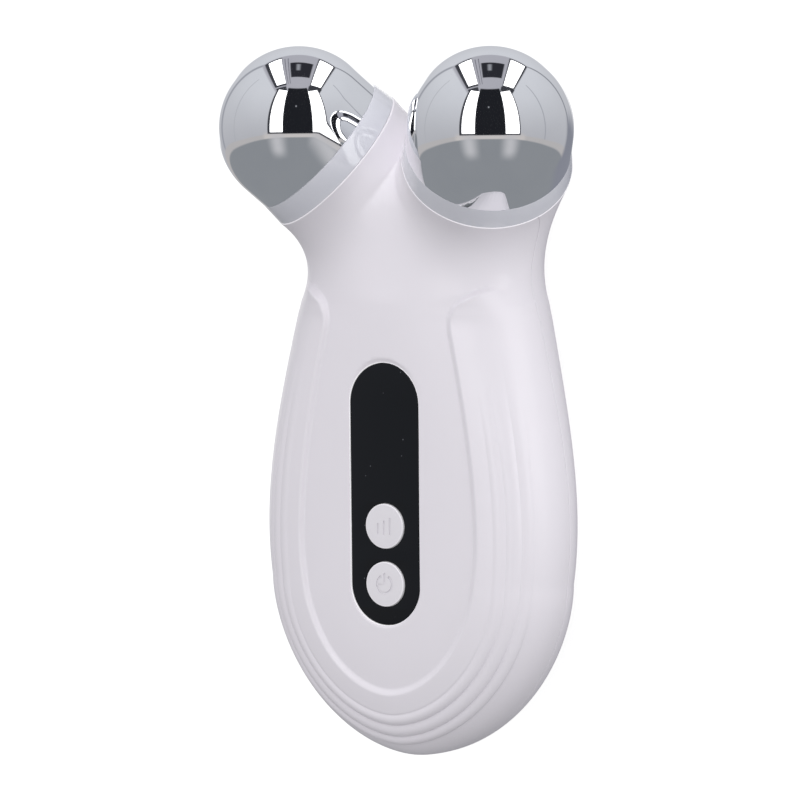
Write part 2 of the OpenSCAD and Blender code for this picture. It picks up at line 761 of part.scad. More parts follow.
module battery_lead(x) {
    start = [x, cell_y + cell_l/2, cell_z + cell_t/2];
    end = [x, board_top_y - pad_inset, board_low];
    lead([start, start + [0, cell_lead_out, 0], end - [0, 0, cell_lead_out], end], cell_lead_r);
}
module battery_lead_red() color("red") battery_lead(cell_lead_x);
module battery_lead_black() color("black") battery_lead(-cell_lead_x);

// ---- screws ----

slot_share = 0.6;
slot_w = 0.5;
module screw(r, l, head_r, head_h) {
    cylinder(r = r, h = l);
    translate([0, 0, -head_h]) difference() {
        cylinder(r = head_r, h = head_h);
        translate([0, 0, -1]) for (a = [0, 90]) rotate(a)
            translate([-head_r*slot_share, -slot_w/2, 0]) cube([2*head_r*slot_share, slot_w, 1 + head_h/2]);
    }
}
module board_screws() color("silver") {
    post_points() translate([0, 0, board_low])
        screw(board_screw_r, board_t + board_grip, board_head_r, board_head_h);
    for (x = [-charge_post_x, charge_post_x]) translate([x, -charge_post_y, socket_z]) mirror([0, 0, 1])
        screw(board_screw_r, board_t + board_grip, board_head_r, board_head_h);
}
module case_screws() color("silver") {
    case_points() translate([0, 0, case_seat_z]) screw(case_screw_r, case_screw_l, case_head_r, case_head_h);
}

// ---- electrodes, one set on each branch ----

module electrode(side) color("silver") on_branch(side) {
    rotate_extrude() polygon(concat(
        [for (a = [0:5:90]) electrode_r*[cos(a), sin(a)]],
        [for (a = [90:-5:0]) (electrode_r - electrode_wall)*[cos(a), sin(a)]],
        [[electrode_r - electrode_wall, -skirt_h], [electrode_r, -skirt_h]]));
    difference() {
        translate([0, 0, plug_top]) cylinder(r = boss_r, h = electrode_r - electrode_wall/2 - plug_top);
        translate([0, 0, plug_top - 1]) cylinder(r = screw_r + thread_gap, h = screw_l - plug_t - lug_t + 2);
    }
}
module collar(side) color("lightsteelblue") on_branch(side) {
    rotate_extrude() polygon([[collar_bore, -lip_drop - spigot_h], [spigot_r, -lip_drop - spigot_h],
        [spigot_r, -lip_drop], [lip_r, -lip_drop], [electrode_r, -skirt_h],
        [electrode_r - electrode_wall - clearance, -skirt_h],
        [electrode_r - electrode_wall - clearance, register_h - skirt_h],
        [collar_bore, register_h - skirt_h]]);
}
module seal(side) color("white") on_branch(side) {
    translate([0, 0, plug_top]) difference() {
        cylinder(r = plug_r, h = seal_t);
        translate([0, 0, -1]) cylinder(r = boss_r + 1, h = seal_t + 2);
    }
}
module plug(side) color("dimgray") on_branch(side) {
    translate([0, 0, plug_low]) difference() {
        cylinder(r = plug_r, h = plug_t);
        translate([0, 0, -1]) cylinder(r = screw_r + clearance, h = plug_t + 2);
    }
}
module terminal(side) color("goldenrod") on_branch(side) {
    translate([0, 0, plug_low - lug_t]) difference() {
        union() {
            cylinder(r = lug_r, h = lug_t);
            translate([-lug_l, -lug_r/2, 0]) cube([lug_l, lug_r, lug_t]);
        }
        translate([0, 0, -1]) cylinder(r = screw_r + clearance, h = lug_t + 2);
    }
}
module electrode_screws() color("silver") {
    for (side = [-1, 1]) on_branch(side) translate([0, 0, plug_low - lug_t])
        screw(screw_r, screw_l, screw_head_r, screw_head_h);
}
lead_x = 9;
lead_out = 10;
lead_up = 6;
// The point on a branch's axis at a height, and the direction of the terminal's tail
function on_axis(h) = electrode_c + h*branch_dir;
tail_dir = [sin(branch_lift)*cos(branch_turn), sin(branch_lift)*sin(branch_turn), -cos(branch_lift)];
module electrode_lead(side) in_mirror(side) {
    start = on_axis(plug_low - lug_t - lead_r) - (lug_l - 1)*tail_dir;
    end = [lead_x, board_top_y - pad_inset, board_z];
    lead([start, start - lead_out*branch_dir, end + [0, 0, lead_up], end], lead_r);
}
module right_electrode() electrode(1);
module left_electrode() electrode(-1);
module right_collar() collar(1);
module left_collar() collar(-1);
module right_seal() seal(1);
module left_seal() seal(-1);
module right_plug() plug(1);
module left_plug() plug(-1);
module right_terminal() terminal(1);
module left_terminal() terminal(-1);
module right_lead() color("firebrick") electrode_lead(1);
module left_lead() color("darkblue") electrode_lead(-1);

front_shell();
rear_shell();
display_window();
window_tape();
mode_button();
power_button();
mode_plunger();
power_plunger();
mode_switch();
power_switch();
main_board();
display_module();
control_chip();
step_up_coil();
charging_board();
charging_socket();
charging_ribbon();
battery_cell();
battery_foam();
battery_lead_red();
battery_lead_black();
board_screws();
case_screws();
right_electrode();
right_collar();
right_seal();
right_plug();
right_terminal();
right_lead();
left_electrode();
left_collar();
left_seal();
left_plug();
left_terminal();
left_lead();
electrode_screws();
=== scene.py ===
# %% [markdown]
# # A facial toning device
# The device is a flat white body for the hand that splits into two short branches, each with a polished
# round electrode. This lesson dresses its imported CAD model: the shells, the window, the buttons, the
# electrodes and their clear collars are modelled again with far finer meshes, every other piece keeps its
# CAD mesh, and every piece gets a finish of its own. Loading the model comes first, because each new piece
# rides on one of its bodies.

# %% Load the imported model
import math

import bmesh
import bpy
import numpy as np
from mathutils import Matrix, Vector
from mathutils.geometry import tessellate_polygon


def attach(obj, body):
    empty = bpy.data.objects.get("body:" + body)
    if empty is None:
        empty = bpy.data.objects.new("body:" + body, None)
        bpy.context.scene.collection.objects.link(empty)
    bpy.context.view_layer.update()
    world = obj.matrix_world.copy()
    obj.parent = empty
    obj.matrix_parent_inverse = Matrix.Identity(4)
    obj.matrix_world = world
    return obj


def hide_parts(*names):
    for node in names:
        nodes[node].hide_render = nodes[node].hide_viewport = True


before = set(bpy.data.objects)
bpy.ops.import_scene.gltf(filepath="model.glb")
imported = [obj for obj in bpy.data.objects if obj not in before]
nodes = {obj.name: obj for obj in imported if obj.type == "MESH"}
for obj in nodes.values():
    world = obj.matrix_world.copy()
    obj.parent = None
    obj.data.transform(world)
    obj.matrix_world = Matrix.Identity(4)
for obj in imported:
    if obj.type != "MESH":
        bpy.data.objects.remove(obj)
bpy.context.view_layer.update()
MM = 0.001

# %% [markdown]
# ## The camera
# A product picture is taken from far away with a long lens, so that the near electrode doesn't look larger
# than the far one. Here the camera stands 1.2 m in front and to the right of the lying device, with its
# picture's up direction along the handle. Three axes and a place make the camera's matrix directly, which is
# more exact than turning it by hand.

# %% Camera
eye_mm = (669.93, 89.74, 1016.62)
eye_right = (0.82884, -0.0099, -0.5594)
eye_up = (-0.03337, 0.99719, -0.06709)
eye_back = (0.55849, 0.07427, 0.82618)
lens_mm = 257.416
camera_data = bpy.data.cameras.new("camera")
camera_data.lens = lens_mm
camera_data.sensor_width = 36
camera_data.clip_start = 0.05
camera_data.clip_end = 20
camera = bpy.data.objects.new("camera", camera_data)
bpy.context.scene.collection.objects.link(camera)
turn = Matrix((eye_right, eye_up, eye_back)).transposed().to_4x4()
camera.matrix_world = Matrix.Translation(Vector(eye_mm)*MM) @ turn
bpy.context.scene.camera = camera
print("camera", round(Vector(eye_mm).length*MM, 3), "m from the origin")

# %% [markdown]
# ## The outline of the body
# The moulded body has no straight line on it. It is made as a loft: a section is drawn at each of many
# stations along a path, and the sections are joined. A station runs from 0 to 1 round the tail, from 1 to 2
# up the handle, and from 2 to 3 through the neck into one branch. The other half is its mirror image. All
# sizes are in millimetres. Apart from the blend at the neck they are those of the CAD source, so that the
# fine mesh lies close to the CAD solids.

# %% Sizes of the body
tail_y, tail_reach, tail_square = 37.6, 37.4, 1.8
tail_half_w, belly_half_w, waist_half_w, neck_half_w, neck_y = 36.1, 39, 33.6, 29.5, 20
part_z, front_depth, neck_front_depth = 17.6, 14.4, 14.2
tail_rear_depth, palm_rear_depth, back_rear_depth, neck_rear_depth = 16, 18, 18.5, 18.5
front_square, tip_square, neck_square = 2.6, 3, 1.9
rear_square, tip_rear_square, neck_rear_square = 2.1, 2.5, 2.25
neck_mid_square, branch_front_square, circle_square = 2.15, 2.35, 2
neck_mid_rear_square, branch_rear_square = 2.3, 1.5
shoulder_half_w, branch_half_w, lip_r = 25.2, 16.4, 17.9
shoulder_front, branch_front, shoulder_rear, branch_rear = 14.4, 16.1, 17.5, 17.6
electrode_c = np.array([24.1, 57.7, part_z + 9.4])
branch_lift, branch_turn = 36.3, 54.4
neck_lead, branch_lead, spine_drop, lip_part_turn = 14, 12.8, 0.3, 7
skirt_h, collar_h = 5.6, 4.9
wall = 2.2
face_z = part_z + front_depth
lip_drop = skirt_h + collar_h
neck_blend = 0.09
lift, swing = math.radians(branch_lift), math.radians(branch_turn)
branch_dir = np.array([math.cos(lift)*math.cos(swing), math.cos(lift)*math.sin(swing), math.sin(lift)])
lip_c = electrode_c - lip_drop*branch_dir
print("the branch meets its collar at", np.round(lip_c, 2))

# %% [markdown]
# The neck's sections turn from straight across the handle to straight across the branch. Their planes all
# pass through one hinge line, like the pages of a book, so that no two of them cross inside the body.

# %% Stations and sections
def bezier(p, t):
    u = 1 - t
    return u*u*u*p[0] + 3*u*u*t*p[1] + 3*u*t*t*p[2] + t*t*t*p[3]


def mix(a, b, t):
    return a + (b - a)*t


def ease(t):
    c = np.clip(t, 0, 1)
    return c*c*(3 - 2*c)


def unit(v):
    return v/np.linalg.norm(v)


hinge_dir = np.cross([0, 1, 0], branch_dir)
hinge_c = np.array([lip_c[0], neck_y, lip_c[2] + branch_dir[1]*(lip_c[1] - neck_y)/branch_dir[2]])
spine = np.array([[0, neck_y, part_z], [0, neck_y + neck_lead, part_z - spine_drop],
                  lip_c - branch_lead*branch_dir, lip_c])


def plain_station(g):
    """Centre, outward axis, front axis, and the shape of the section: half width, depths, squareness."""
    up = np.array([0.0, 0, 1])
    if g < 1:
        c, s = math.cos(math.radians(90*g - 90)), -math.sin(math.radians(90*g - 90))
        reach = (c/tail_half_w)**tail_square + (s/tail_reach)**tail_square
        shape = (reach**(-1/tail_square), front_depth, tail_rear_depth,
                 mix(front_square, tip_square, s*s), mix(rear_square, tip_rear_square, s*s))
        return np.array([0, -tail_y, part_z]), np.array([c, -s, 0]), up, shape
    t = g - 1
    if g <= 2:
        shape = (bezier([tail_half_w, belly_half_w, waist_half_w, neck_half_w], t),
                 bezier([front_depth]*3 + [neck_front_depth], t),
                 bezier([tail_rear_depth, palm_rear_depth, back_rear_depth, neck_rear_depth], t),
                 mix(front_square, neck_square, t*t), mix(rear_square, neck_rear_square, t*t))
        return np.array([0, mix(-tail_y, neck_y, t), part_z]), np.array([1.0, 0, 0]), up, shape
    t = g - 2
    centre = bezier(spine, t)
    along = unit(np.cross(hinge_dir, centre - hinge_c))
    out = unit(np.cross(along, up))
    shape = (bezier([neck_half_w, shoulder_half_w, branch_half_w, lip_r], t),
             bezier([neck_front_depth, shoulder_front, branch_front, lip_r], t),
             bezier([neck_rear_depth, shoulder_rear, branch_rear, lip_r], t),
             bezier([neck_square, neck_mid_square, branch_front_square, circle_square], t),
             bezier([neck_rear_square, neck_mid_rear_square, branch_rear_square, circle_square], t))
    return centre, out, np.cross(out, along), shape


def station(g):
    """The plain station, but averaged with its neighbours where the handle turns into the neck."""
    reach = neck_blend - abs(g - 2)
    if reach <= 0:
        return plain_station(g)
    near = [plain_station(g + reach*s) for s in np.linspace(-1, 1, 9)]
    centre, out, front, shape = [np.mean([n[i] for n in near], 0) for i in range(4)]
    return centre, unit(out), unit(front), shape


def section(shape, degrees):
    """Points and normals of a section, where 0 is its front, 90 its side and 180 its back."""
    half, front, rear, n_front, n_rear = shape
    c, s = np.cos(np.radians(degrees)), np.sin(np.radians(degrees))
    depth, n = np.where(c >= 0, front, rear), np.where(c >= 0, n_front, n_rear)
    point = np.stack([half*np.sign(s)*np.abs(s)**(2/n), depth*np.sign(c)*np.abs(c)**(2/n)], 1)
    normal = np.stack([depth*np.sign(s)*np.abs(s)**(2 - 2/n), half*np.sign(c)*np.abs(c)**(2 - 2/n)], 1)
    return point, normal/np.linalg.norm(normal, axis=1)[:, None]


print("half width at the neck:", station(2)[3][0], "mm")

# %% [markdown]
# ## Grip pads and terraces
# On each side of the face lies a raised grip pad, with a soft edge and a round corner beside the neck. Round
# the tail and the sides, the pad steps down to the parting line in four fine terraces, which give the
# fingers hold. They are made as heights over the plain skin, as a function of the section's angle and of the
# place along the handle, because then they follow the body wherever it goes. Their lines, their corner and
# the pad's upper band are drawn more finely than in the CAD model, and differ from it by less than 1 mm.

# %% Heights of the pads
pad_h, pad_angle, pad_top_y, pad_edge_w, degree_l = 0.8, 30.5, 25.9, 1.5, 0.5
pad_corner_w, pad_corner_l, pad_lift, pad_band_l = 12, 10.5, 1.2, 10
terrace_lines, terrace_end = (39, 45.3, 53.6, 61.5), 69.5
side_bulges, tail_bulge, step_turn = (0.17, 0.27, 0.17), 0.48, 1.3
fade_start, fade_len = -14, 26
tail_turn, turn_start, turn_len = 2.1, -28, 20


def pad_inside(a, y):
    """How far a point lies inside the pad's outline, which has an elliptic corner beside the neck."""
    d, e = degree_l*(a - pad_angle), pad_top_y - y
    u, v = np.maximum(1 - d/pad_corner_w, 0), np.maximum(1 - e/pad_corner_l, 0)
    rho, slope = np.hypot(u, v), np.hypot(u/pad_corner_w, v/pad_corner_l)
    return np.where(rho > 0, (1 - rho)*rho/np.maximum(slope, 1e-9), pad_corner_l)


def terrace_height(a, tail):
    """Steps at the tail (1), and low ribs with fine creases between them along the sides (0)."""
    last = len(terrace_lines)
    before = 2*terrace_lines[0] - terrace_lines[1]
    k = np.interp(a, [before, *terrace_lines, terrace_end], range(-1, last + 1))
    f = k - np.floor(k)
    rib = np.select([k < 0, k < 1, k < 2, k < 3], [0, *side_bulges], 0)
    bulge = 4*mix(rib, np.where((k > 0) & (k < last - 1), tail_bulge, 0), tail)*f*(1 - f)
    steps = sum(ease((a - line)/step_turn + 0.5) for line in terrace_lines)/last
    return pad_h*(1 - mix(ease(k/last), steps, ease(1.4*tail))) + bulge


def relief(a, y, tail):
    plain = pad_h*(1 - ease((a - terrace_lines[0])/(terrace_end - terrace_lines[0])))
    stepped = 1 - ease((y - fade_start)/fade_len)
    inside = pad_inside(a + tail_turn*ease((turn_start - y)/turn_len), y)
    band = 1 + pad_lift*ease((y - pad_top_y)/pad_band_l + 1)
    return band*ease(inside/pad_edge_w + 0.5)*mix(plain, terrace_height(a, tail), stepped)


def skin(g, degrees, off=0.0, inset=0.0):
    """Points of the body's skin at a station and some angles, moved along the skin's normal by off."""
    a = np.atleast_1d(np.asarray(degrees, float))
    centre, out, front, shape = station(g)
    p, n = section(shape, a)
    tail = -out[1] if g < 1 else 0
    raised = np.where((a > 0) & (a < 90), relief(a, centre[1] + p[:, 0]*out[1], tail), 0) if off == 0 else 0
    q = p + (off + raised - inset)[:, None]*n if np.ndim(off + raised - inset) else p + off*n
    return centre + q[:, :1]*out + q[:, 1:]*front


print("top of the pad beside the window:", np.round(skin(1.4, 38)[0], 2))

# %% [markdown]
# ## Where the branches part
# Both halves meet on the mid plane until the branches part. At each station of the neck the skin is followed
# inwards until it touches that plane, and a search by halving finds the station from which it no longer does.

# %% The valley between the branches
search_turns = np.arange(30, 90.1, 0.5)
turn_halvings, crotch_halvings = 24, 26


def innermost(g, off):
    """The angle, inside of the front, at which a section comes closest to the mid plane."""
    x = skin(g, -search_turns, off)[:, 0]
    i = int(np.clip(np.argmin(x), 1, len(x) - 2))
    bend = x[i - 1] - 2*x[i] + x[i + 1]
    return search_turns[i] + 0.25*(x[i - 1] - x[i + 1])/bend if bend > 1e-9 else search_turns[i]


def inner_turn(g, way, off):
    """How far a section runs inwards past its front (way -1) or past its back (way 1)."""
    if g <= 2:
        return 0.0
    turn = innermost(g, off)
    low, high = 0.0, turn if way < 0 else 180 - turn
    if skin(g, -turn, off)[0, 0] > -0.001:
        return high
    start = 0 if way < 0 else 180
    for _ in range(turn_halvings):
        mid = (low + high)/2
        if skin(g, start + way*mid, off)[0, 0] > 0:
            low = mid
        else:
            high = mid
    return mid


def crotch(off):
    low, high = 2.0, 3.0
    for _ in range(crotch_halvings):
        mid = (low + high)/2
        if skin(mid, -innermost(mid, off), off)[0, 0] < 0:
            low = mid
        else:
            high = mid
    return high


def part_angle(g):
    return 90 if g <= 2 else 90 - lip_part_turn*(g - 2)**2


outer_crotch, inner_crotch = crotch(0), crotch(-wall)
print("the branches part at stations", round(outer_crotch, 4), "and", round(inner_crotch, 4))

# %% [markdown]
# ## Rows of skin points
# Each shell has an outer skin, an inner skin one wall below it, and the flat seats between them. The columns
# of points are close together where the pads and terraces are, and closest at the parting line, where the two
# shells' edges are rounded a little. Those two round edges make the fine line that runs round the real
# device.

# %% Stations and columns
lip_edge = np.array([0.8, 0.45, 0.33, 0.24, 0.16, 0.1, 0.05, 0.015, 0])
edge_ends = np.array([1.2, 0.8, 0.5, 0.34, 0.22, 0.14, 0.08, 0.035, 0])
edge_r, lip_round = 0.2, 0.35
spine_speed = 3*branch_lead
neck_rows, tail_rows, grip_rows, split_rows = 46, 48, 44, 16
pad_start, corner_rows, pad_end, pad_rows = 1.85, 26, 2.2, 20
mid_snap, far = 0.01, 9.0
edge_samples, edge_search_deg = 90, 16


def inset_of(e, r):
    """How far an edge with rounding r lies under the skin at a distance e from its end."""
    e = np.asarray(e, float)
    return np.where(e < r, r - np.sqrt(np.maximum(r**2 - (r - e)**2, 0)), 0)


def stations(off):
    parting = outer_crotch if off == 0 else inner_crotch
    lip_start = 3 - lip_edge[0]/spine_speed
    return np.concatenate([
        np.linspace(0, 1, tail_rows, endpoint=False),
        np.linspace(1, pad_start, grip_rows, endpoint=False),
        np.linspace(pad_start, 2, corner_rows, endpoint=False),
        np.linspace(2, pad_end, pad_rows, endpoint=False),
        pad_end + (parting - pad_end)*np.sin(np.linspace(0, math.pi/2, neck_rows, endpoint=False)),
        np.linspace(parting, lip_start, split_rows, endpoint=False), 3 - lip_edge/spine_speed])


crotch_row = tail_rows + grip_rows + corner_rows + pad_rows + neck_rows


def edge_angles(g, way):
    """Angles at set distances from the parting line, on the front (way -1) or the rear (way 1) of it."""
    d = np.linspace(0, 1, edge_samples)**3*edge_search_deg
    p, _ = section(station(g)[3], part_angle(g) + way*np.maximum(d, 1e-6))
    run = np.concatenate([[0], np.cumsum(np.linalg.norm(np.diff(p, axis=0), axis=1))])
    return part_angle(g) + way*np.interp(edge_ends, run, d)


front_share = np.concatenate([np.linspace(0, 26, 14), np.linspace(26.4, 35, 28), np.linspace(35.4, 64.4, 90),
                              np.linspace(65.5, 88, 12)])/88
rear_share = np.linspace(0, 1, 64)
inner_cols = 40


def rows_of(front):
    """Points of the outer skin of one shell, row by row, from the mid plane to the parting line."""
    rows = []
    for g in stations(0):
        way = -1 if front else 1
        edge = edge_angles(g, way)
        mid = (0 if front else 180) + way*inner_turn(g, way, 0)
        share = front_share if front else rear_share
        a = np.concatenate([mix(mid, edge[0], share[:-1]), edge])
        ends = np.concatenate([np.full(len(share) - 1, far), edge_ends])
        inset = np.maximum(inset_of(ends, edge_r), inset_of((3 - g)*spine_speed, lip_round))
        p = skin(g, a, 0.0, inset)
        p[np.abs(p[:, 0]) < mid_snap, 0] = 0
        rows.append(p)
    return np.array(rows)


def inner_rows_of(front):
    rows = []
    for g in stations(-wall):
        way = -1 if front else 1
        mid = (0 if front else 180) + way*inner_turn(g, way, -wall)
        p = skin(g, np.linspace(mid, part_angle(g), inner_cols), -wall)
        p[np.abs(p[:, 0]) < mid_snap, 0] = 0
        rows.append(p)
    return np.array(rows)


front_rows, rear_rows = rows_of(True), rows_of(False)
front_inner, rear_inner = inner_rows_of(True), inner_rows_of(False)
print("front skin", front_rows.shape, "rear skin", rear_rows.shape)

# %% [markdown]
# The two halves meet in a sharp fold on the mid plane. On the moulded body that valley is soft, as every
# inside corner of a mould is. Rounds of averaging between neighbours soften it, most at the mid plane and not
# at all a few millimetres away.

# %% Soften the valley
valley_w = 4.5
valley_rounds = 60
valley_start, valley_rise, valley_fall = 2.02, 0.2, 0.12


def soften(rows):
    g = stations(0)[:, None]
    near = (np.exp(-(rows[:, :, 0]/valley_w)**2)*ease((g - valley_start)/valley_rise)
            *ease((outer_crotch - g)/valley_fall))
    for _ in range(valley_rounds):
        left = np.concatenate([rows[:, 1:2]*[-1, 1, 1], rows[:, :-2]], 1)
        rows[:, :-1] += 0.5*near[:, :-1, None]*((left + rows[:, 1:])/2 - rows[:, :-1])
        rows[:crotch_row + 1, 0, 0] = 0
    return rows


soften(front_rows)
soften(rear_rows)
print("valley softened over", valley_w, "mm on each side")

# %% [markdown]
# ## A small workshop for meshes
# A solid is kept as a list of points and a list of faces until it is whole. Three tools do all the work: a
# strip of quads between two rows of the same length, a zip that joins two rows of different lengths, and a
# trim that cuts faces along any line given by a formula. The trim makes clean openings, because it puts new
# points exactly on the line.

# %% Strips, zips and trims
cut_halvings = 18


class Solid:
    def __init__(self):
        self.points, self.faces = [], []

    def add(self, points):
        first = len(self.points)
        self.points += [np.array(p, float) for p in points]
        return list(range(first, len(self.points)))

    def strip(self, a, b):
        self.faces += [(a[i], a[i + 1], b[i + 1], b[i]) for i in range(len(a) - 1)]

    def grid(self, rows):
        ids = [self.add(r) for r in rows]
        for a, b in zip(ids, ids[1:]):
            self.strip(a, b)
        return ids

    def zip(self, a, b, at_a, at_b):
        """Joins row a to row b, whose points stand at rising positions at_a and at_b."""
        i = j = 0
        while i < len(a) - 1 or j < len(b) - 1:
            if j == len(b) - 1 or (i < len(a) - 1 and at_a[i + 1] <= at_b[j + 1]):
                self.faces.append((a[i], a[i + 1], b[j]))
                i += 1
            else:
                self.faces.append((a[i], b[j + 1], b[j]))
                j += 1

    def trim(self, outside, start=0):
        """Cuts the faces where outside(points) is 0, drops the part below 0, and returns the cut's chains."""
        points = np.array(self.points)
        value = outside(points)
        kept, new, beside = self.faces[:start], {}, {}

        def crossing(i, j):
            key = (min(i, j), max(i, j))
            if key not in new:
                low, high = (points[i], points[j]) if value[i] < 0 else (points[j], points[i])
                for _ in range(cut_halvings):
                    mid = (low + high)/2
                    low, high = (mid, high) if outside(mid[None])[0] < 0 else (low, mid)
                new[key] = self.add([high])[0]
            return new[key]

        for f in self.faces[start:]:
            inside = [value[i] < 0 for i in f]
            if not any(inside):
                kept.append(f)
            if not any(inside) or all(inside):
                continue
            loop, cut = [], []
            for i, j in zip(f, f[1:] + f[:1]):
                if value[i] >= 0:
                    loop.append(i)
                if (value[i] < 0) != (value[j] < 0):
                    cut.append(crossing(i, j))
                    loop.append(cut[-1])
            kept.append(tuple(loop))
            for c, d in (cut[:2], cut[1::-1]):
                beside.setdefault(c, []).append(d)
        self.faces = kept
        chains, used = [], set()
        for c in sorted(beside, key=lambda k: len(beside[k])):
            chain = []
            while c is not None and c not in used:
                used.add(c)
                chain.append(c)
                c = next((d for d in beside[c] if d not in used), None)
            if len(chain) > 1:
                chains.append(chain)
        return chains


print("tools: strip, grid, zip, trim")

# %% [markdown]
# A finished solid becomes a Blender mesh here. The body is modelled as its right half only, so the mesh is
# mirrored and welded along the mid plane, which also keeps both sides exactly alike.

# %% From solid to object
sharp_angle = math.radians(32)
flat_sides = 40


def collect(name, solid, mirror=False):
    """A mesh object from a solid in millimetres, with smooth faces and sharp edges above an angle."""
    points = np.array(solid.points)*MM
    faces = [tuple(dict.fromkeys(f)) for f in solid.faces]
    faces = [f for f in faces if len(f) > 2]
    if mirror:
        n = len(points)
        faces += [tuple(i + n for i in reversed(f)) for f in faces]
        points = np.concatenate([points, points*[-1, 1, 1]])
    used = sorted({i for f in faces for i in f})
    index = {old: new for new, old in enumerate(used)}
    mesh = bpy.data.meshes.new(name)
    mesh.from_pydata(points[used].tolist(), [], [[index[i] for i in f] for f in faces])
    work = bmesh.new()
    work.from_mesh(mesh)
    seam = [v for v in work.verts if abs(v.co.x) < 1e-8] if mirror else []
    bmesh.ops.remove_doubles(work, verts=seam, dist=2e-7)
    bmesh.ops.recalc_face_normals(work, faces=work.faces[:])
    for f in work.faces:
        f.smooth = len(f.verts) < flat_sides
    open_edges = sum(1 for e in work.edges if len(e.link_faces) != 2)
    work.to_mesh(mesh)
    work.free()
    mesh.set_sharp_from_angle(angle=sharp_angle)
    thing = bpy.data.objects.new(name, mesh)
    bpy.context.scene.collection.objects.link(thing)
    print(name, len(mesh.vertices), "points,", len(mesh.polygons), "faces,", open_edges, "open edges")
    return thing


print("ready to collect solids")

# %% [markdown]
# ## Outlines for openings
# The display window and its recess are long slots with round ends. A position along half of such an outline
# runs from 0 to 1 round the lower end, from 1 to 2 up the side, and from 2 to 3 round the upper end. Points
# on two slots with the same position belong together, so a wall between them is a plain strip.

# %% Slots and circles
window_w, window_top_y, window_gap, window_t, ledge_w, tape_t = 17.2, 0.2, 0.4, 1.6, 1.2, 0.3
window_r = window_w/2
window_z = face_z - window_gap
window_low = window_z - window_t
tape_low = window_low - tape_t
opening_r = window_r - ledge_w
frame_t, clearance, thread_gap = 1.5, 0.1, 0.05
slot_ends = np.array([-tail_y, window_top_y])


def slot_key(p, ends):
    x, y = p[:, 0], p[:, 1]
    low, high = ends
    upper = np.where(y > high, 3 - np.degrees(np.arctan2(x, y - high))/90, 1 + (y - low)/(high - low))
    return np.where(y < low, np.degrees(np.arctan2(x, low - y))/90, upper)


def slot_at(key, r, ends):
    low, high = ends
    a, b = np.radians(90*np.clip(key, 0, 1)), np.radians(90*np.clip(3 - key, 0, 1))
    x = r*np.where(key < 1, np.sin(a), np.where(key > 2, np.sin(b), 1))
    y = np.where(key < 1, low - r*np.cos(a), np.where(key > 2, high + r*np.cos(b), mix(low, high, key - 1)))
    return np.stack([x, y], 1)


def from_slot(r, ends):
    return lambda p: np.hypot(p[:, 0], p[:, 1] - np.clip(p[:, 1], *ends)) - r


def from_circle(x, y, r):
    return lambda p: np.hypot(p[:, 0] - x, p[:, 1] - y) - r


def rising(chain, key):
    return (chain, key) if key[0] < key[-1] else (chain[::-1], key[::-1])


print("window", window_w, "x", slot_ends[1] - slot_ends[0] + window_w, "mm, its top at", window_z)

# %% [markdown]
# A round hole in a skin is trimmed and then lined: the trimmed edge is zipped to a ring, and rings of other
# sizes and heights follow, down to the last one. A screw boss is such a lining too, made from the outside
# and the inside of the shell at once.

# %% Lined holes
ring_sides = 48


def ring(solid, x, y, r, z):
    a = np.radians(np.linspace(0, 360, ring_sides, endpoint=False))
    ids = solid.add(np.stack([x + r*np.cos(a), y + r*np.sin(a), np.full(ring_sides, z)], 1))
    return ids + ids[:1]


def round_chain(solid, chain, x, y):
    p = np.array(solid.points)[chain]
    a = np.degrees(np.arctan2(p[:, 1] - y, p[:, 0] - x)) % 360
    if np.sum((np.diff(a) + 180) % 360 - 180) < 0:
        chain, a = chain[::-1], a[::-1]
    first = int(np.argmin(a))
    chain, a = chain[first:] + chain[:first], np.concatenate([a[first:], a[:first]])
    return chain + chain[:1], np.append(a, a[0] + 360)


def line_hole(solid, chain, x, y, levels):
    """Rings of (radius, height), the first of which is zipped to the chain."""
    chain, at = round_chain(solid, chain, x, y)
    rings = [ring(solid, x, y, r, z) for r, z in levels]
    solid.zip(chain, rings[0], at, np.linspace(0, 360, ring_sides + 1))
    for a, b in zip(rings, rings[1:]):
        solid.strip(a, b)
    return rings[-1]


def close_skins(solid, outer, inner):
    """The seats of a half shell: along the parting line, between the branches and round the lip."""
    solid.strip([r[-1] for r in outer], [r[-1] for r in inner])
    solid.strip([r[0] for r in outer[crotch_row:]], [r[0] for r in inner[crotch_row:]])
    ends = []
    for row in (outer[-1], inner[-1]):
        p = np.array(solid.points)[row]
        run = np.concatenate([[0], np.cumsum(np.linalg.norm(np.diff(p, axis=0), axis=1))])
        ends.append(run/run[-1])
    solid.zip(outer[-1], inner[-1], *ends)


print("ring of", ring_sides, "sides")

# %% [markdown]
# ## The charging opening
# At the end of the tail, half in each shell, a small opening leads to the charging socket. It is trimmed
# through everything that a shell has there at once: outer skin, seat and inner skin. The cut edge runs out
# and back in, so its outer part is zipped to its inner part, which makes the opening's wall.

# %% The tail opening
socket_w, socket_h = 8.9, 3.2
tail_zone_y = -60


def outside_socket(p):
    across = np.maximum(np.abs(p[:, 0]) - (socket_w - socket_h)/2, 0)
    gap = np.hypot(across, p[:, 2] - part_z) - (socket_h/2 + clearance)
    return np.where(p[:, 1] < tail_zone_y, gap, far)


def cut_socket(solid):
    for chain in solid.trim(outside_socket):
        p = np.array(solid.points)[chain]
        if p[0, 1] > p[-1, 1]:
            chain, p = chain[::-1], p[::-1]
        height = np.abs(p[:, 2] - part_z)
        turn_at = int(np.argmax(height < 1e-6))
        key = -np.degrees(np.arctan2(height, p[:, 0]))
        solid.zip(chain[:turn_at + 1], chain[turn_at:][::-1], key[:turn_at + 1], key[turn_at:][::-1])
    return solid


print("opening", socket_w + 2*clearance, "x", socket_h + 2*clearance, "mm")

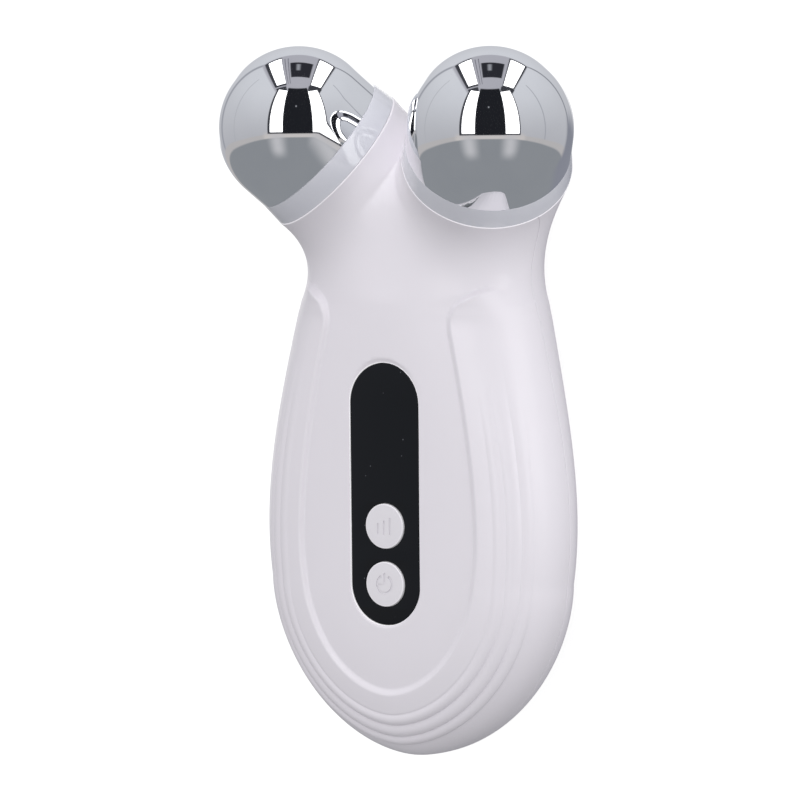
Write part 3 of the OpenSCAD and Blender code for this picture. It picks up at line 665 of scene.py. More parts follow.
# %% [markdown]
# ## The front shell
# The face carries a recess for the window. Its rim slopes down to the glass: almost upright along the sides,
# wide and soft round the lower end, wide and flat round the upper end. Under the rim follow the pocket for
# the window, the ledge that it is taped to, and the frame that stiffens the opening.

# %% Front shell
rim_side, rim_low, rim_high = 0.2, 0.85, 1.0
face_from_z = part_z + 5
bore_spare = 1
case_screw_x, case_screw_y, case_screw_r, case_screw_l, case_boss_r = 23, (7.5, -48), 1.25, 13, 3.2
case_head_r, case_seat_z = 2.3, part_z - 7.5
post_x, post_y, post_r, board_screw_r, board_grip = 13.8, (8.4, -55.5), 2.6, 1, 4
board_z = window_low - 6.6
rim_shares = np.array([0.88, 0.76, 0.63, 0.5, 0.38, 0.26, 0.15, 0.07, 0])


def front_half():
    half = Solid()
    outer = half.grid(front_rows)
    rim_r = window_r + rim_side
    rim_ends = slot_ends + [rim_side - rim_low, rim_high - rim_side]
    chain = half.trim(lambda p: np.where(p[:, 2] > face_from_z, from_slot(rim_r, rim_ends)(p), far))[0]
    p = np.array(half.points)[chain]
    chain, key = rising(chain, slot_key(p, rim_ends))
    edge_z = np.array(half.points)[chain][:, 2]
    soft = ease(1.6 - key)
    row = chain
    for s in rim_shares:
        ends = mix(slot_ends, rim_ends, s)
        fall = mix(s**1.5, 1 - (1 - s)**2.2, soft)
        xy = slot_at(key, mix(window_r + clearance, rim_r, s), ends)
        below = half.add(np.column_stack([xy, mix(window_z, edge_z, fall)]))
        half.strip(row, below)
        row = below
    for r, z in ((window_r + clearance, tape_low), (opening_r, tape_low), (opening_r, tape_low - frame_t),
                 (window_r + wall, tape_low - frame_t)):
        below = half.add(np.column_stack([slot_at(key, r, slot_ends), np.full(len(key), z)]))
        half.strip(row, below)
        row = below
    start = len(half.faces)
    inner = half.grid(front_inner)
    holes = half.trim(from_slot(window_r + wall, slot_ends), start)
    under = max(holes, key=len)
    under, under_key = rising(under, slot_key(np.array(half.points)[under], slot_ends))
    half.zip(row, under, key, under_key)
    for y in case_screw_y:
        hole = half.trim(from_circle(case_screw_x, y, case_boss_r), start)[0]
        top = case_seat_z + case_screw_l + bore_spare
        bore = case_screw_r + thread_gap
        last = line_hole(half, hole, case_screw_x, y, [(case_boss_r, part_z), (bore, part_z), (bore, top)])
        half.faces.append(tuple(last[:-1]))
    for y in post_y:
        hole = half.trim(from_circle(post_x, y, post_r), start)[0]
        bore, top = board_screw_r + thread_gap, board_z + board_grip + bore_spare
        last = line_hole(half, hole, post_x, y, [(post_r, board_z), (bore, board_z), (bore, top)])
        half.faces.append(tuple(last[:-1]))
    close_skins(half, outer, inner)
    return cut_socket(half)


front_shell = collect("front_shell_skin", front_half(), mirror=True)
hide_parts("front_shell")
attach(front_shell, "housing")

# %% [markdown]
# ## The rear shell
# The back is flat where the device rests, so its skin is trimmed at the level of the table. Four deep holes
# take the case screws. Each has a wide bore for the head, a seat, and a narrow bore for the shank, and stands
# inside as a boss that meets the one of the front shell.

# %% Rear shell
def rear_half():
    half = Solid()
    outer = half.grid(rear_rows)
    flat = max(half.trim(lambda p: p[:, 2]), key=len)
    half.faces.append(tuple(flat))
    bores = [half.trim(from_circle(case_screw_x, y, case_head_r + clearance))[0] for y in case_screw_y]
    start = len(half.faces)
    inner = half.grid(rear_inner)
    for bore, y in zip(bores, case_screw_y):
        hole = half.trim(from_circle(case_screw_x, y, case_boss_r), start)[0]
        shank = case_screw_r + clearance
        seat = line_hole(half, hole, case_screw_x, y,
                         [(case_boss_r, part_z), (shank, part_z), (shank, case_seat_z)])
        head = line_hole(half, bore, case_screw_x, y, [(case_head_r + clearance, case_seat_z)])
        half.strip(seat, head)
    close_skins(half, outer, inner)
    return cut_socket(half)


rear_shell = collect("rear_shell_skin", rear_half(), mirror=True)
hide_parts("rear_shell")
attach(rear_shell, "housing")

# %% [markdown]
# ## Turned pieces
# Electrodes, collars and buttons are round, as if turned on a lathe. Their outline is drawn once as a closed
# profile of radius and height, its corners are rounded, and it is swept round the axis. A corner that is
# rounded in the profile catches a line of light all the way round, which a sharp corner never does.

# %% Profiles and the lathe
def rounded(corners, steps=5):
    """A closed profile from corners (radius, height, rounding), each rounded by an arc of its own size."""
    out = []
    n = len(corners)
    for i, (x, z, r) in enumerate(corners):
        p = np.array([x, z], float)
        if r == 0:
            out.append(p)
            continue
        before, after = np.array(corners[i - 1][:2], float), np.array(corners[(i + 1) % n][:2], float)
        u, v = unit(before - p), unit(after - p)
        half = math.acos(np.clip(u @ v, -1, 1))/2
        start, end = p + u*r/math.tan(half), p + v*r/math.tan(half)
        centre = p + unit(u + v)*r/math.sin(half)
        for t in np.linspace(0, 1, steps + 1):
            out.append(centre + r*unit(mix(start, end, t) - centre))
    return np.array(out)


def turned(profile, sides, place=lambda p: p):
    """The solid swept by a closed profile of (radius, height) round the upright axis, then put in place."""
    solid = Solid()
    a = np.radians(np.linspace(0, 360, sides, endpoint=False))
    rings = []
    for r, z in profile:
        if r < 1e-6:
            rings.append(solid.add(place(np.array([[0, 0, z]])))*(sides + 1))
        else:
            ids = solid.add(place(np.stack([r*np.cos(a), r*np.sin(a), np.full(sides, z)], 1)))
            rings.append(ids + ids[:1])
    for i in range(len(rings)):
        lower, upper = rings[i], rings[(i + 1) % len(rings)]
        if lower[0] != lower[1] or upper[0] != upper[1]:
            solid.strip(lower, upper)
    return solid


def on_branch(side):
    """Carries points from the electrode's own frame, where +Z is the branch, to one side of the device."""
    tilt = math.radians(90 - branch_lift)
    c, s = math.cos(tilt), math.sin(tilt)
    about_y = np.array([[c, 0, s], [0, 1, 0], [-s, 0, c]])
    c, s = math.cos(swing), math.sin(swing)
    about_z = np.array([[c, -s, 0], [s, c, 0], [0, 0, 1]])
    return lambda p: (p @ (about_z @ about_y).T + electrode_c)*[side, 1, 1]


sides_named = {"right": 1, "left": -1}
print("branch axis", np.round(branch_dir, 3))

# %% [markdown]
# ## The electrodes
# Each electrode is a thin metal dome on a short straight skirt, with a threaded boss inside that a screw
# pulls from below. The dome is polished like a mirror, so any flat facet would show at once: it gets 160
# sides and a ring every two degrees. The skirt's lower edge is rounded, as polishing leaves it.

# %% Electrodes
electrode_r, electrode_wall, plug_t, seal_t, boss_r, lug_t = 17.3, 1.2, 3, 0.8, 3.4, 0.5
spigot_h, screw_r, screw_l = 2, 1.5, 12
plug_top = -(lip_drop + spigot_h + seal_t)
dome_sides = 160


def electrode_profile():
    outer = [electrode_r*np.array([math.cos(a), math.sin(a)]) for a in np.radians(np.arange(90, 0, -2))]
    inner_r = electrode_r - electrode_wall
    reach = math.degrees(math.acos(boss_r/inner_r))
    inner = [inner_r*np.array([math.cos(a), math.sin(a)]) for a in np.radians(np.linspace(0, reach, 30))]
    edge = rounded([(electrode_r, 0, 0), (electrode_r, -skirt_h, 0.15),
                    (inner_r, -skirt_h, 0.15), (inner_r, 0, 0)])
    bore = screw_r + thread_gap
    bore_top = plug_top + screw_l - plug_t - lug_t + bore_spare
    boss = [(boss_r, plug_top), (bore, plug_top), (bore, bore_top), (0, bore_top)]
    return np.concatenate([[[0, electrode_r]], outer[1:], edge[:-1], inner, boss])


for name, side in sides_named.items():
    dome = collect(name + "_electrode_dome", turned(electrode_profile(), dome_sides, on_branch(side)))
    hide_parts(name + "_electrode")
    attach(dome, "housing")

# %% [markdown]
# ## The clear collars
# A collar of clear, slightly milky plastic keeps each electrode apart from the shell. It widens a little
# towards the branch. Its two outer edges are rounded and stand next to the rounded edges of the shell and of
# the electrode, so that a bright line and a dark line run round each joint; on the shell the bright line is
# also a painted highlight.

# %% Collars
collar_bore, register_h = 12, 2
spigot_r = lip_r - wall - 1.5
collar_top_r = electrode_r - electrode_wall - clearance


def collar_profile():
    foot = -lip_drop
    return rounded([(collar_bore, foot - spigot_h, 0.2), (spigot_r, foot - spigot_h, 0.2),
                    (spigot_r, foot, 0), (lip_r - 0.1, foot, 0.12),
                    (electrode_r, -skirt_h, 0.1), (collar_top_r, -skirt_h, 0),
                    (collar_top_r, register_h - skirt_h, 0.2), (collar_bore, register_h - skirt_h, 0.2)])


for name, side in sides_named.items():
    collar = collect(name + "_collar_ring", turned(collar_profile(), dome_sides, on_branch(side)))
    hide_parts(name + "_collar")
    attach(collar, "housing")

# %% [markdown]
# ## The display window
# The window is a plate of black glossy plastic with round ends, and with two holes for the buttons. Its top
# is one flat face with holes in it, which Blender's tessellation divides into triangles. A tiny round edge
# runs round the outline and round each hole.

# %% Window plate
button_r, button_pitch = 4.7, 12.2
button_y = {"power": -tail_y, "mode": -tail_y + button_pitch}
window_edge = 0.18


def window_outline(r, count=180):
    key = np.linspace(0, 3, count)
    right = slot_at(key, r, slot_ends)
    return np.concatenate([right, (right*[-1, 1])[-2:0:-1]])


def circle_outline(y, r, count=72):
    a = np.radians(np.linspace(0, 360, count, endpoint=False))
    return np.stack([r*np.cos(a), y + r*np.sin(a)], 1)


def window_plate():
    plate = Solid()
    shapes = [(lambda shrink: window_outline(window_r - shrink))]
    shapes += [(lambda shrink, y=y: circle_outline(y, button_r + clearance + shrink))
               for y in button_y.values()]
    levels = [(window_edge*(1 - math.sin(a)), window_z - window_edge*(1 - math.cos(a)))
              for a in np.radians([0, 22.5, 45, 67.5, 90])] + [(0, window_low)]
    tops, lows = [], []
    for shape in shapes:
        rows = []
        for shrink, z in levels:
            ids = plate.add(np.column_stack([shape(shrink), np.full(len(shape(shrink)), z)]))
            rows.append(ids + ids[:1])
        for a, b in zip(rows, rows[1:]):
            plate.strip(a, b)
        tops.append(rows[0][:-1])
        lows.append(rows[-1][:-1])
    for loops in (tops, lows):
        flat = [i for ids in loops for i in ids]
        corners = tessellate_polygon([[Vector(plate.points[i]) for i in ids] for ids in loops])
        plate.faces += [tuple(flat[k] for k in c) for c in corners]
    return plate


window = collect("window_plate", window_plate())
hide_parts("display_window")
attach(window, "housing")

# %% [markdown]
# ## The buttons
# Both buttons are white caps with a flange that keeps them behind the window and a stem that reaches their
# switch. The rim of each cap is rounded. A shallow mark is sunk into each top: three rising bars on the upper
# one, which changes the strength, and the usual ring with a line on the lower one, which turns the device on.
# The marks are cut with a Boolean modifier, because they are real grooves whose walls catch the light. The
# caps stand 0.4 mm above the glass here, and 0.9 mm in the CAD model.

# %% Caps and their marks
button_proud, button_flange_w, flange_t, stem_r = 0.4, 0.9, 1, 1.6
switch_z = board_z + 3.5
plunger_h = 1.4
button_top = window_z + button_proud
mark_depth, mark_w, mark_r, bar_pitch = 0.16, 0.55, 1.85, 1.5
mark_high = 1
top_ring_r = 2.6


def cap_profile():
    flange_z = window_low - clearance
    wide = button_r + button_flange_w
    outline = rounded([(0, switch_z + plunger_h, 0), (stem_r, switch_z + plunger_h, 0.1),
                       (stem_r, flange_z - flange_t, 0), (wide, flange_z - flange_t, 0.15),
                       (wide, flange_z, 0.15), (button_r, flange_z, 0), (button_r, button_top, 0.2),
                       (top_ring_r, button_top, 0), (0, button_top, 0)], steps=8)
    return outline


def bar(x, y, w, h):
    """An upright block with round ends, as the tool that sinks one bar of a mark."""
    solid = Solid()
    a = np.radians(np.linspace(0, 180, 13))
    end = np.stack([w/2*np.cos(a), w/2*np.sin(a)], 1)
    outline = np.concatenate([end + [x, y + h - w/2], -end + [x, y + w/2]])
    low, high = [solid.add(np.column_stack([outline, np.full(len(outline), z)]))
                 for z in (button_top - mark_depth, button_top + mark_high)]
    solid.strip(low + low[:1], high + high[:1])
    solid.faces += [tuple(low), tuple(high)]
    return solid


def open_ring(y, gap_deg):
    """A ring with a gap at its top, as the tool that sinks the ring of the power mark."""
    solid = Solid()
    rows = []
    for a in np.radians(np.linspace(90 + gap_deg, 450 - gap_deg, 61)):
        radii = (mark_r - mark_w/2, mark_r + mark_w/2)
        low, high = button_top - mark_depth, button_top + mark_high
        corners = [(radii[0], low), (radii[1], low), (radii[1], high), (radii[0], high)]
        rows.append(solid.add([(r*math.cos(a), y + r*math.sin(a), z) for r, z in corners]))
    for a, b in zip(rows, rows[1:]):
        solid.strip(a + a[:1], b + b[:1])
    solid.faces += [tuple(rows[0]), tuple(rows[-1])]
    return solid


def carve(thing, tools):
    """Cuts each tool out of a thing with an exact Boolean, and removes the tool."""
    for tool in tools:
        cut = thing.modifiers.new("mark", "BOOLEAN")
        cut.operation, cut.solver, cut.object = "DIFFERENCE", "EXACT", tool
        with bpy.context.temp_override(object=thing, active_object=thing):
            bpy.ops.object.modifier_apply(modifier=cut.name)
        bpy.data.objects.remove(tool)
    thing.data.set_sharp_from_angle(angle=sharp_angle)
    print(thing.name, "carved:", len(thing.data.polygons), "faces")


marks = {
    "mode": [bar(k*bar_pitch, button_y["mode"] - mark_r, mark_w, mark_r*(4 + k)/3 + mark_w)
             for k in (-1, 0, 1)],
    "power": [open_ring(button_y["power"], 30), bar(0, button_y["power"], mark_w, 1.3*mark_r)]}
for name, y in button_y.items():
    cap = collect(name + "_button_cap", turned(cap_profile(), 96, lambda p: p + [0, y, 0]))
    carve(cap, [collect("mark_tool", tool) for tool in marks[name]])
    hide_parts(name + "_button")
    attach(cap, name + "_button")

# %% [markdown]
# ## Finishes
# A finish is a small network of nodes. All of them start alike: a Principled shader, and noise that is read
# in the object's own metres, so that its grain keeps its real size. The helpers below lay the noise over the
# colour, the roughness and the surface's relief.

# %% Helpers for finishes
class Finish:
    def __init__(self, name, colour, roughness, metallic=0.0):
        self.material = bpy.data.materials.new(name)
        self.material.use_nodes = True
        self.nodes, self.links = self.material.node_tree.nodes, self.material.node_tree.links
        self.shader = self.nodes["Principled BSDF"]
        self.colour = (*colour, 1)
        self.roughness = roughness
        self.shader.inputs["Base Color"].default_value = self.colour
        self.shader.inputs["Roughness"].default_value = roughness
        self.shader.inputs["Metallic"].default_value = metallic
        self.place = self.nodes.new("ShaderNodeTexCoord").outputs["Object"]

    def noise(self, grain_mm, detail=2.0, stretch=(1, 1, 1)):
        """Noise whose spots are about grain_mm wide, and longer or shorter along each axis by stretch."""
        mapping = self.nodes.new("ShaderNodeMapping")
        mapping.inputs["Scale"].default_value = [1/s for s in stretch]
        self.links.new(self.place, mapping.inputs["Vector"])
        noise = self.nodes.new("ShaderNodeTexNoise")
        noise.inputs["Scale"].default_value = 1/(grain_mm*MM)
        noise.inputs["Detail"].default_value = detail
        self.links.new(mapping.outputs["Vector"], noise.inputs["Vector"])
        return noise.outputs["Fac"]

    def between(self, value, low, high, start=0.15, end=0.85):
        """Turns a value that runs from start to end into one that runs from low to high."""
        node = self.nodes.new("ShaderNodeMapRange")
        for key, number in (("From Min", start), ("From Max", end), ("To Min", low), ("To Max", high)):
            node.inputs[key].default_value = number
        self.links.new(value, node.inputs["Value"])
        return node.outputs["Result"]

    def math(self, operation, a, b=0.0):
        node = self.nodes.new("ShaderNodeMath")
        node.operation = operation
        for socket, value in zip(node.inputs, (a, b)):
            if isinstance(value, (int, float)):
                socket.default_value = value
            else:
                self.links.new(value, socket)
        return node.outputs["Value"]

    def axes(self):
        parts = self.nodes.new("ShaderNodeSeparateXYZ")
        self.links.new(self.place, parts.inputs["Vector"])
        return [parts.outputs[axis] for axis in "XYZ"]

    def along_branch(self):
        """How far a point lies above the lip of its branch, in metres. The left branch mirrors the right."""
        x, y, z = self.axes()
        total = -float(lip_c @ branch_dir)*MM
        for value, share in zip((self.math("ABSOLUTE", x), y, z), branch_dir):
            total = self.math("ADD", self.math("MULTIPLY", value, float(share)), total)
        return total

    def from_line(self, low, high):
        """How far a point lies, seen from the front, from the mid line between two heights, in metres."""
        x, y, _ = self.axes()
        nearest = self.math("MINIMUM", self.math("MAXIMUM", y, low*MM), high*MM)
        away = self.math("SUBTRACT", y, nearest)
        squares = [self.math("MULTIPLY", value, value) for value in (x, away)]
        return self.math("SQRT", self.math("ADD", *squares))

    # Paints light: a white emission of the given strength, used for painted highlights.
    def glow(self, strength):
        self.shader.inputs["Emission Color"].default_value = (1, 1, 1, 1)
        self.links.new(strength, self.shader.inputs["Emission Strength"])

    def vary_colour(self, value, other):
        blend = self.nodes.new("ShaderNodeMix")
        blend.data_type = "RGBA"
        blend.inputs["A"].default_value = self.colour
        blend.inputs["B"].default_value = (*other, 1)
        self.links.new(value, blend.inputs["Factor"])
        self.links.new(blend.outputs["Result"], self.shader.inputs["Base Color"])

    def vary_roughness(self, value, spread):
        self.links.new(self.between(value, self.roughness - spread, self.roughness + spread),
                       self.shader.inputs["Roughness"])

    def relief(self, value, height_mm):
        bump = self.nodes.new("ShaderNodeBump")
        bump.inputs["Distance"].default_value = height_mm*MM
        self.links.new(value, bump.inputs["Height"])
        self.links.new(bump.outputs["Normal"], self.shader.inputs["Normal"])

    def on(self, *things):
        for thing in things:
            thing.data.materials.clear()
            thing.data.materials.append(self.material)
        print(self.material.name, "on", ", ".join(t.name for t in things))


print("finish helpers ready")

# %% [markdown]
# ## White shell plastic
# The body is a white, faintly cool plastic with a satin skin: it is matt to the finger, but a lamp still
# draws a wide soft glow on it. The mould's fine grain is a very low relief, and a second, larger noise
# changes colour and gloss by a hair, so that no large area is perfectly even. The bright line round the lips
# of the shell, where they meet the collars, is a painted highlight: a faint white glow of the shell itself. A
# narrow mask, which starts a little below the lip as measured along the branch, gives that line. The sharp
# rim round the window is as thin, and gets such a painted highlight too.

# %% Shell finish
lip_highlight_w, lip_highlight_strength, rim_highlight_w, rim_highlight_strength = 0.28, 0.22, 0.24, 0.42
shell_finish = Finish("shell_white", (0.707, 0.68, 0.734), 0.34)
grain = shell_finish.noise(0.12, 3)
clouds = shell_finish.noise(9, 2)
shell_finish.vary_colour(shell_finish.between(clouds, 0, 1), (0.697, 0.672, 0.722))
shell_finish.vary_roughness(clouds, 0.04)
shell_finish.relief(grain, 0.004)
shell_finish.shader.inputs["Specular IOR Level"].default_value = 0.5
# Painted highlights: a faint white glow in a thin line on each lip, weaker near the mid plane, and round the
# window's rim on the face.
painted_lip_highlight = shell_finish.between(shell_finish.along_branch(), 0, lip_highlight_strength, -lip_highlight_w*MM, -lip_highlight_w*MM/2)
painted_rim_highlight = shell_finish.between(shell_finish.from_line(*slot_ends), rim_highlight_strength, 0, (window_r + rim_highlight_w/2)*MM,
                                (window_r + rim_highlight_w)*MM)
on_face = shell_finish.between(shell_finish.axes()[2], 0, 1, (face_z - 2)*MM, (face_z - 1)*MM)
outward = shell_finish.between(shell_finish.math("ABSOLUTE", shell_finish.axes()[0]), 0.15, 1, 0.002, 0.016)
shell_finish.glow(shell_finish.math("ADD", shell_finish.math("MULTIPLY", painted_lip_highlight, outward),
                                    shell_finish.math("MULTIPLY", painted_rim_highlight, on_face)))
shell_finish.on(front_shell, rear_shell)

# %% [markdown]
# ## Polished electrodes
# Plated steel is a metal shader with almost no roughness. What it shows is the studio round it. Faint wiping
# marks, long and thin, change its gloss very slightly.

# %% Chrome finish
chrome = Finish("electrode_chrome", (0.90, 0.905, 0.92), 0.035, 1.0)
wiped = chrome.noise(0.7, 3, stretch=(1, 6, 2))
chrome.vary_roughness(wiped, 0.012)
chrome.relief(chrome.noise(6, 1), 0.002)
chrome.vary_colour(chrome.between(chrome.noise(7, 2), 0, 1), (0.85, 0.86, 0.88))
domes = [bpy.data.objects[name + "_electrode_dome"] for name in sides_named]
chrome.on(*domes)

# %% [markdown]
# ## Clear collars
# The collars let some light through and scatter the rest. A part of the light passes the shader's
# transmission, and the pale blue-grey colour stands for the milkiness.

# %% Collar finish
milky = Finish("collar_clear", (0.62, 0.625, 0.69), 0.09)
milky.shader.inputs["Transmission Weight"].default_value = 0.1
milky.shader.inputs["IOR"].default_value = 1.49
milky.shader.inputs["Coat Weight"].default_value = 0.5
milky.shader.inputs["Coat Roughness"].default_value = 0.03
veil = milky.noise(3.5, 2)
milky.vary_colour(milky.between(veil, 0, 1), (0.655, 0.66, 0.72))
milky.vary_roughness(veil, 0.02)
milky.on(*[bpy.data.objects[name + "_collar_ring"] for name in sides_named])

# %% [markdown]
# ## Window and buttons
# The window is black plastic with a hard gloss. A few specks of dust lie on it, as on any glossy black: tiny
# pale dots from a cell noise, of which only the largest pass a threshold. The buttons are a finer, whiter
# plastic than the shell, with a painted highlight, a faint white glow, in a thin ring round the rim of each
# cap.

# %% Window and button finishes
black = Finish("window_black", (0.0045, 0.0055, 0.0075), 0.09)
black.shader.inputs["Specular IOR Level"].default_value = 0.2
cells = black.nodes.new("ShaderNodeTexVoronoi")
cells.inputs["Scale"].default_value = 1/(3.4*MM)
black.links.new(black.place, cells.inputs["Vector"])
specks = black.between(cells.outputs["Distance"], 1, 0, 0.02, 0.05)
black.vary_colour(specks, (0.12, 0.125, 0.14))
black.vary_roughness(black.noise(4, 2), 0.02)
black.on(window)
button_finish = Finish("button_white", (0.69, 0.67, 0.715), 0.34)
button_finish.vary_colour(button_finish.between(button_finish.noise(2.5, 2), 0, 1), (0.675, 0.657, 0.70))
# Painted highlight: a faint white glow in a thin ring at the outer edge of each cap.
edge_away = button_finish.math("MINIMUM", *[button_finish.from_line(y, y) for y in button_y.values()])
button_finish.glow(button_finish.between(edge_away, 0, 0.12, (button_r - 0.3)*MM, (button_r - 0.15)*MM))
button_finish.vary_roughness(button_finish.noise(1.2, 2), 0.03)
button_finish.relief(button_finish.noise(0.1, 2), 0.002)
caps = [bpy.data.objects[name + "_button_cap"] for name in button_y]
button_finish.on(*caps)

# %% [markdown]
# ## Finishes for what lies inside
# The pieces that keep their CAD meshes are boards, switches, screws, the cell, its leads and the like. One
# list gives each of them its colour, its gloss, whether it is a metal, and the size of its grain.
# They are seldom seen, but a reader who opens the model finds every piece finished.

# %% Inner finishes
inner_finishes = {
    "tape_black": ((0.05, 0.05, 0.05), 0.8, 0, 0.3, ["window_tape"]),
    "chip_black": ((0.03, 0.03, 0.032), 0.5, 0, 0.2, ["control_chip", "mode_plunger", "power_plunger"]),
    "coil_ferrite": ((0.12, 0.12, 0.13), 0.6, 0, 0.4, ["step_up_coil"]),
    "display_dark": ((0.04, 0.05, 0.07), 0.12, 0, 2.0, ["display_module"]),
    "screw_steel": ((0.6, 0.6, 0.62), 0.3, 1, 0.3, ["board_screws", "case_screws", "electrode_screws",
                                                  "charging_socket", "mode_switch", "power_switch"]),
    "contact_brass": ((0.78, 0.6, 0.25), 0.3, 1, 0.4, ["right_terminal", "left_terminal"]),
    "cell_foil": ((0.75, 0.76, 0.78), 0.35, 1, 1.5, ["battery_cell"]),
    "foam_grey": ((0.3, 0.3, 0.32), 0.95, 0, 0.5, ["battery_foam"]),
    "silicone_white": ((0.8, 0.8, 0.8), 0.6, 0, 0.6, ["right_seal", "left_seal"]),
    "plug_plastic": ((0.2, 0.2, 0.21), 0.55, 0, 0.4, ["right_plug", "left_plug"]),
    "ribbon_white": ((0.85, 0.85, 0.82), 0.45, 0, 0.8, ["charging_ribbon"]),
    "lead_red": ((0.65, 0.05, 0.04), 0.45, 0, 0.5, ["battery_lead_red", "right_lead"]),
    "lead_black": ((0.03, 0.03, 0.03), 0.45, 0, 0.5, ["battery_lead_black"]),
    "lead_blue": ((0.05, 0.1, 0.5), 0.45, 0, 0.5, ["left_lead"]),
    "board_green": ((0.05, 0.25, 0.12), 0.4, 0, 1.0, ["main_board", "charging_board"])}
shade = 0.8
for name, (colour, gloss, metal, grain_mm, names) in inner_finishes.items():
    finish = Finish(name, colour, gloss, float(metal))
    spots = finish.noise(grain_mm, 3)
    finish.vary_colour(finish.between(spots, 0, 1), tuple(shade*c for c in colour))
    finish.vary_roughness(spots, 0.06)
    finish.relief(spots, 0.02*grain_mm)
    finish.on(*[nodes[n] for n in names])

# %% [markdown]
# ## The studio
# Mirrors show the room, so the room has to be there. It is painted on the world by direction, in degrees of
# longitude round the upright axis of the standing device and of latitude above it: pale side walls, a black
# card with a white strip on each side of it, bright bands overhead, and a grey table below. Only glossy rays
# see that room. Plain rays see an even, soft light, and the camera sees white.

# %% Helpers for the world
world = bpy.data.worlds.new("studio")
bpy.context.scene.world = world
world.use_nodes = True
air, air_links = world.node_tree.nodes, world.node_tree.links
air.clear()


def sum_of(operation, a, b=None):
    node = air.new("ShaderNodeMath")
    node.operation = operation
    for socket, value in zip(node.inputs, (a, b)):
        if isinstance(value, (int, float)):
            socket.default_value = value
        elif value is not None:
            air_links.new(value, socket)
    return node.outputs["Value"]


def rises(value, edge, soft):
    """0 below an edge and 1 above it, with a soft change as wide as soft."""
    node = air.new("ShaderNodeMapRange")
    node.interpolation_type = "SMOOTHSTEP"
    node.inputs["From Min"].default_value = edge - soft/2
    node.inputs["From Max"].default_value = edge + soft/2
    air_links.new(value, node.inputs["Value"])
    return node.outputs["Result"]


def patch(lon_from, lon_to, lat_from, lat_to, soft=1.0):
    """1 inside a patch of the sky and 0 outside."""
    sides = sum_of("SUBTRACT", rises(longitude, lon_from, soft), rises(longitude, lon_to, soft))
    ends = sum_of("SUBTRACT", rises(latitude, lat_from, soft), rises(latitude, lat_to, soft))
    return sum_of("MULTIPLY", sides, ends)


def panel(left, right, back, front, soft=0.02):
    """1 inside a panel of the ceiling: across and ahead are distances over it, for a height of 1."""
    sides = sum_of("SUBTRACT", rises(across, left, soft), rises(across, right, soft))
    ends = sum_of("SUBTRACT", rises(ahead, back, soft), rises(ahead, front, soft))
    return sum_of("MULTIPLY", sides, ends)


def paint(under, mask, colour):
    blend = air.new("ShaderNodeMix")
    blend.data_type = "RGBA"
    blend.inputs["B"].default_value = (*colour, 1)
    if isinstance(under, tuple):
        blend.inputs["A"].default_value = (*under, 1)
    else:
        air_links.new(under, blend.inputs["A"])
    if isinstance(mask, (int, float)):
        blend.inputs["Factor"].default_value = mask
    else:
        air_links.new(mask, blend.inputs["Factor"])
    return blend.outputs["Result"]


direction = air.new("ShaderNodeSeparateXYZ")
air_links.new(air.new("ShaderNodeTexCoord").outputs["Generated"], direction.inputs["Vector"])
to_degrees = 180/math.pi
latitude = sum_of("MULTIPLY", sum_of("ARCSINE", direction.outputs["Y"]), to_degrees)
longitude = sum_of("MULTIPLY", sum_of("ARCTAN2", direction.outputs["X"], direction.outputs["Z"]), to_degrees)
height = sum_of("MAXIMUM", direction.outputs["Y"], 0.1)
east, south = [sum_of("DIVIDE", direction.outputs[axis], height) for axis in "XZ"]
rig_turn = math.radians(33)
rig_c, rig_s = math.cos(rig_turn), math.sin(rig_turn)
across = sum_of("SUBTRACT", sum_of("MULTIPLY", east, rig_c), sum_of("MULTIPLY", south, rig_s))
ahead = sum_of("ADD", sum_of("MULTIPLY", east, rig_s), sum_of("MULTIPLY", south, rig_c))
print("world helpers ready, the lamps are turned by", round(math.degrees(rig_turn)), "degrees")

# %% [markdown]
# The room is painted from the back to the front, as on a canvas. First come the walls, which are brighter
# towards the ceiling, then the ceiling with two long light boxes and a black cloth between them, then the
# black card between two white strips, and last the table, whose far edge bends down at the sides. A gap
# between two panels is a thin dark line.

# %% The room
wall_low, wall_high, ceiling_grey = (0.47, 0.475, 0.505), (0.68, 0.695, 0.735), (0.45, 0.45, 0.495)
ink, gap_grey, seam_grey = (0.014, 0.015, 0.019), (0.05, 0.052, 0.062), (0.33, 0.34, 0.38)
white, soft_white = (3.0, 3.0, 3.0), (1.15, 1.15, 1.15)
horizon_tan, side_tan = (0.61, 0.58, 0.565), (0.50, 0.485, 0.485)
table_grey, back_table, table_glow = (0.27, 0.285, 0.305), (0.25, 0.26, 0.305), (0.55, 0.55, 0.57)
card_middle, top_lat = 33, 52.8
room = paint(wall_low, rises(latitude, 15, 80), wall_high)
for lon, width, tone in ((-104, 5, seam_grey), (-69, 1.2, (0.45, 0.46, 0.49)), (115, 1.4, (0.36, 0.37, 0.41)),
                         (169, 3, (0.24, 0.25, 0.28))):
    room = paint(room, patch(lon - width/2, lon + width/2, -12, 50, width), tone)
room = paint(room, patch(-166, -118, -6, 18, 5), soft_white)

room = paint(room, panel(-0.62, 0.62, -0.68, 0.68, 0.06), ceiling_grey)
for left, right, back, front in ((-0.565, -0.26, -0.63, 0.48), (0.29, 0.62, -0.64, 0.54),
                                 (-0.56, -0.28, 0.52, 0.68), (0.27, 0.64, 0.51, 0.69)):
    room = paint(room, panel(left, right, back, front, 0.03), gap_grey)
room = paint(room, panel(-0.49, -0.27, -0.56, 0.41), white)
room = paint(room, panel(0.315, 0.575, -0.57, 0.46), white)
for seam in (-0.215, -0.165):
    room = paint(room, panel(seam - 0.006, seam + 0.006, -0.5, 0.45, 0.012), (0.16, 0.16, 0.19))
room = paint(room, panel(-0.135, 0.235, -0.27, 0.24, 0.03), (0.026, 0.027, 0.034))
room = paint(room, panel(-0.03, 0.03, -0.2, 0.02, 0.05), (0.3, 0.31, 0.34))

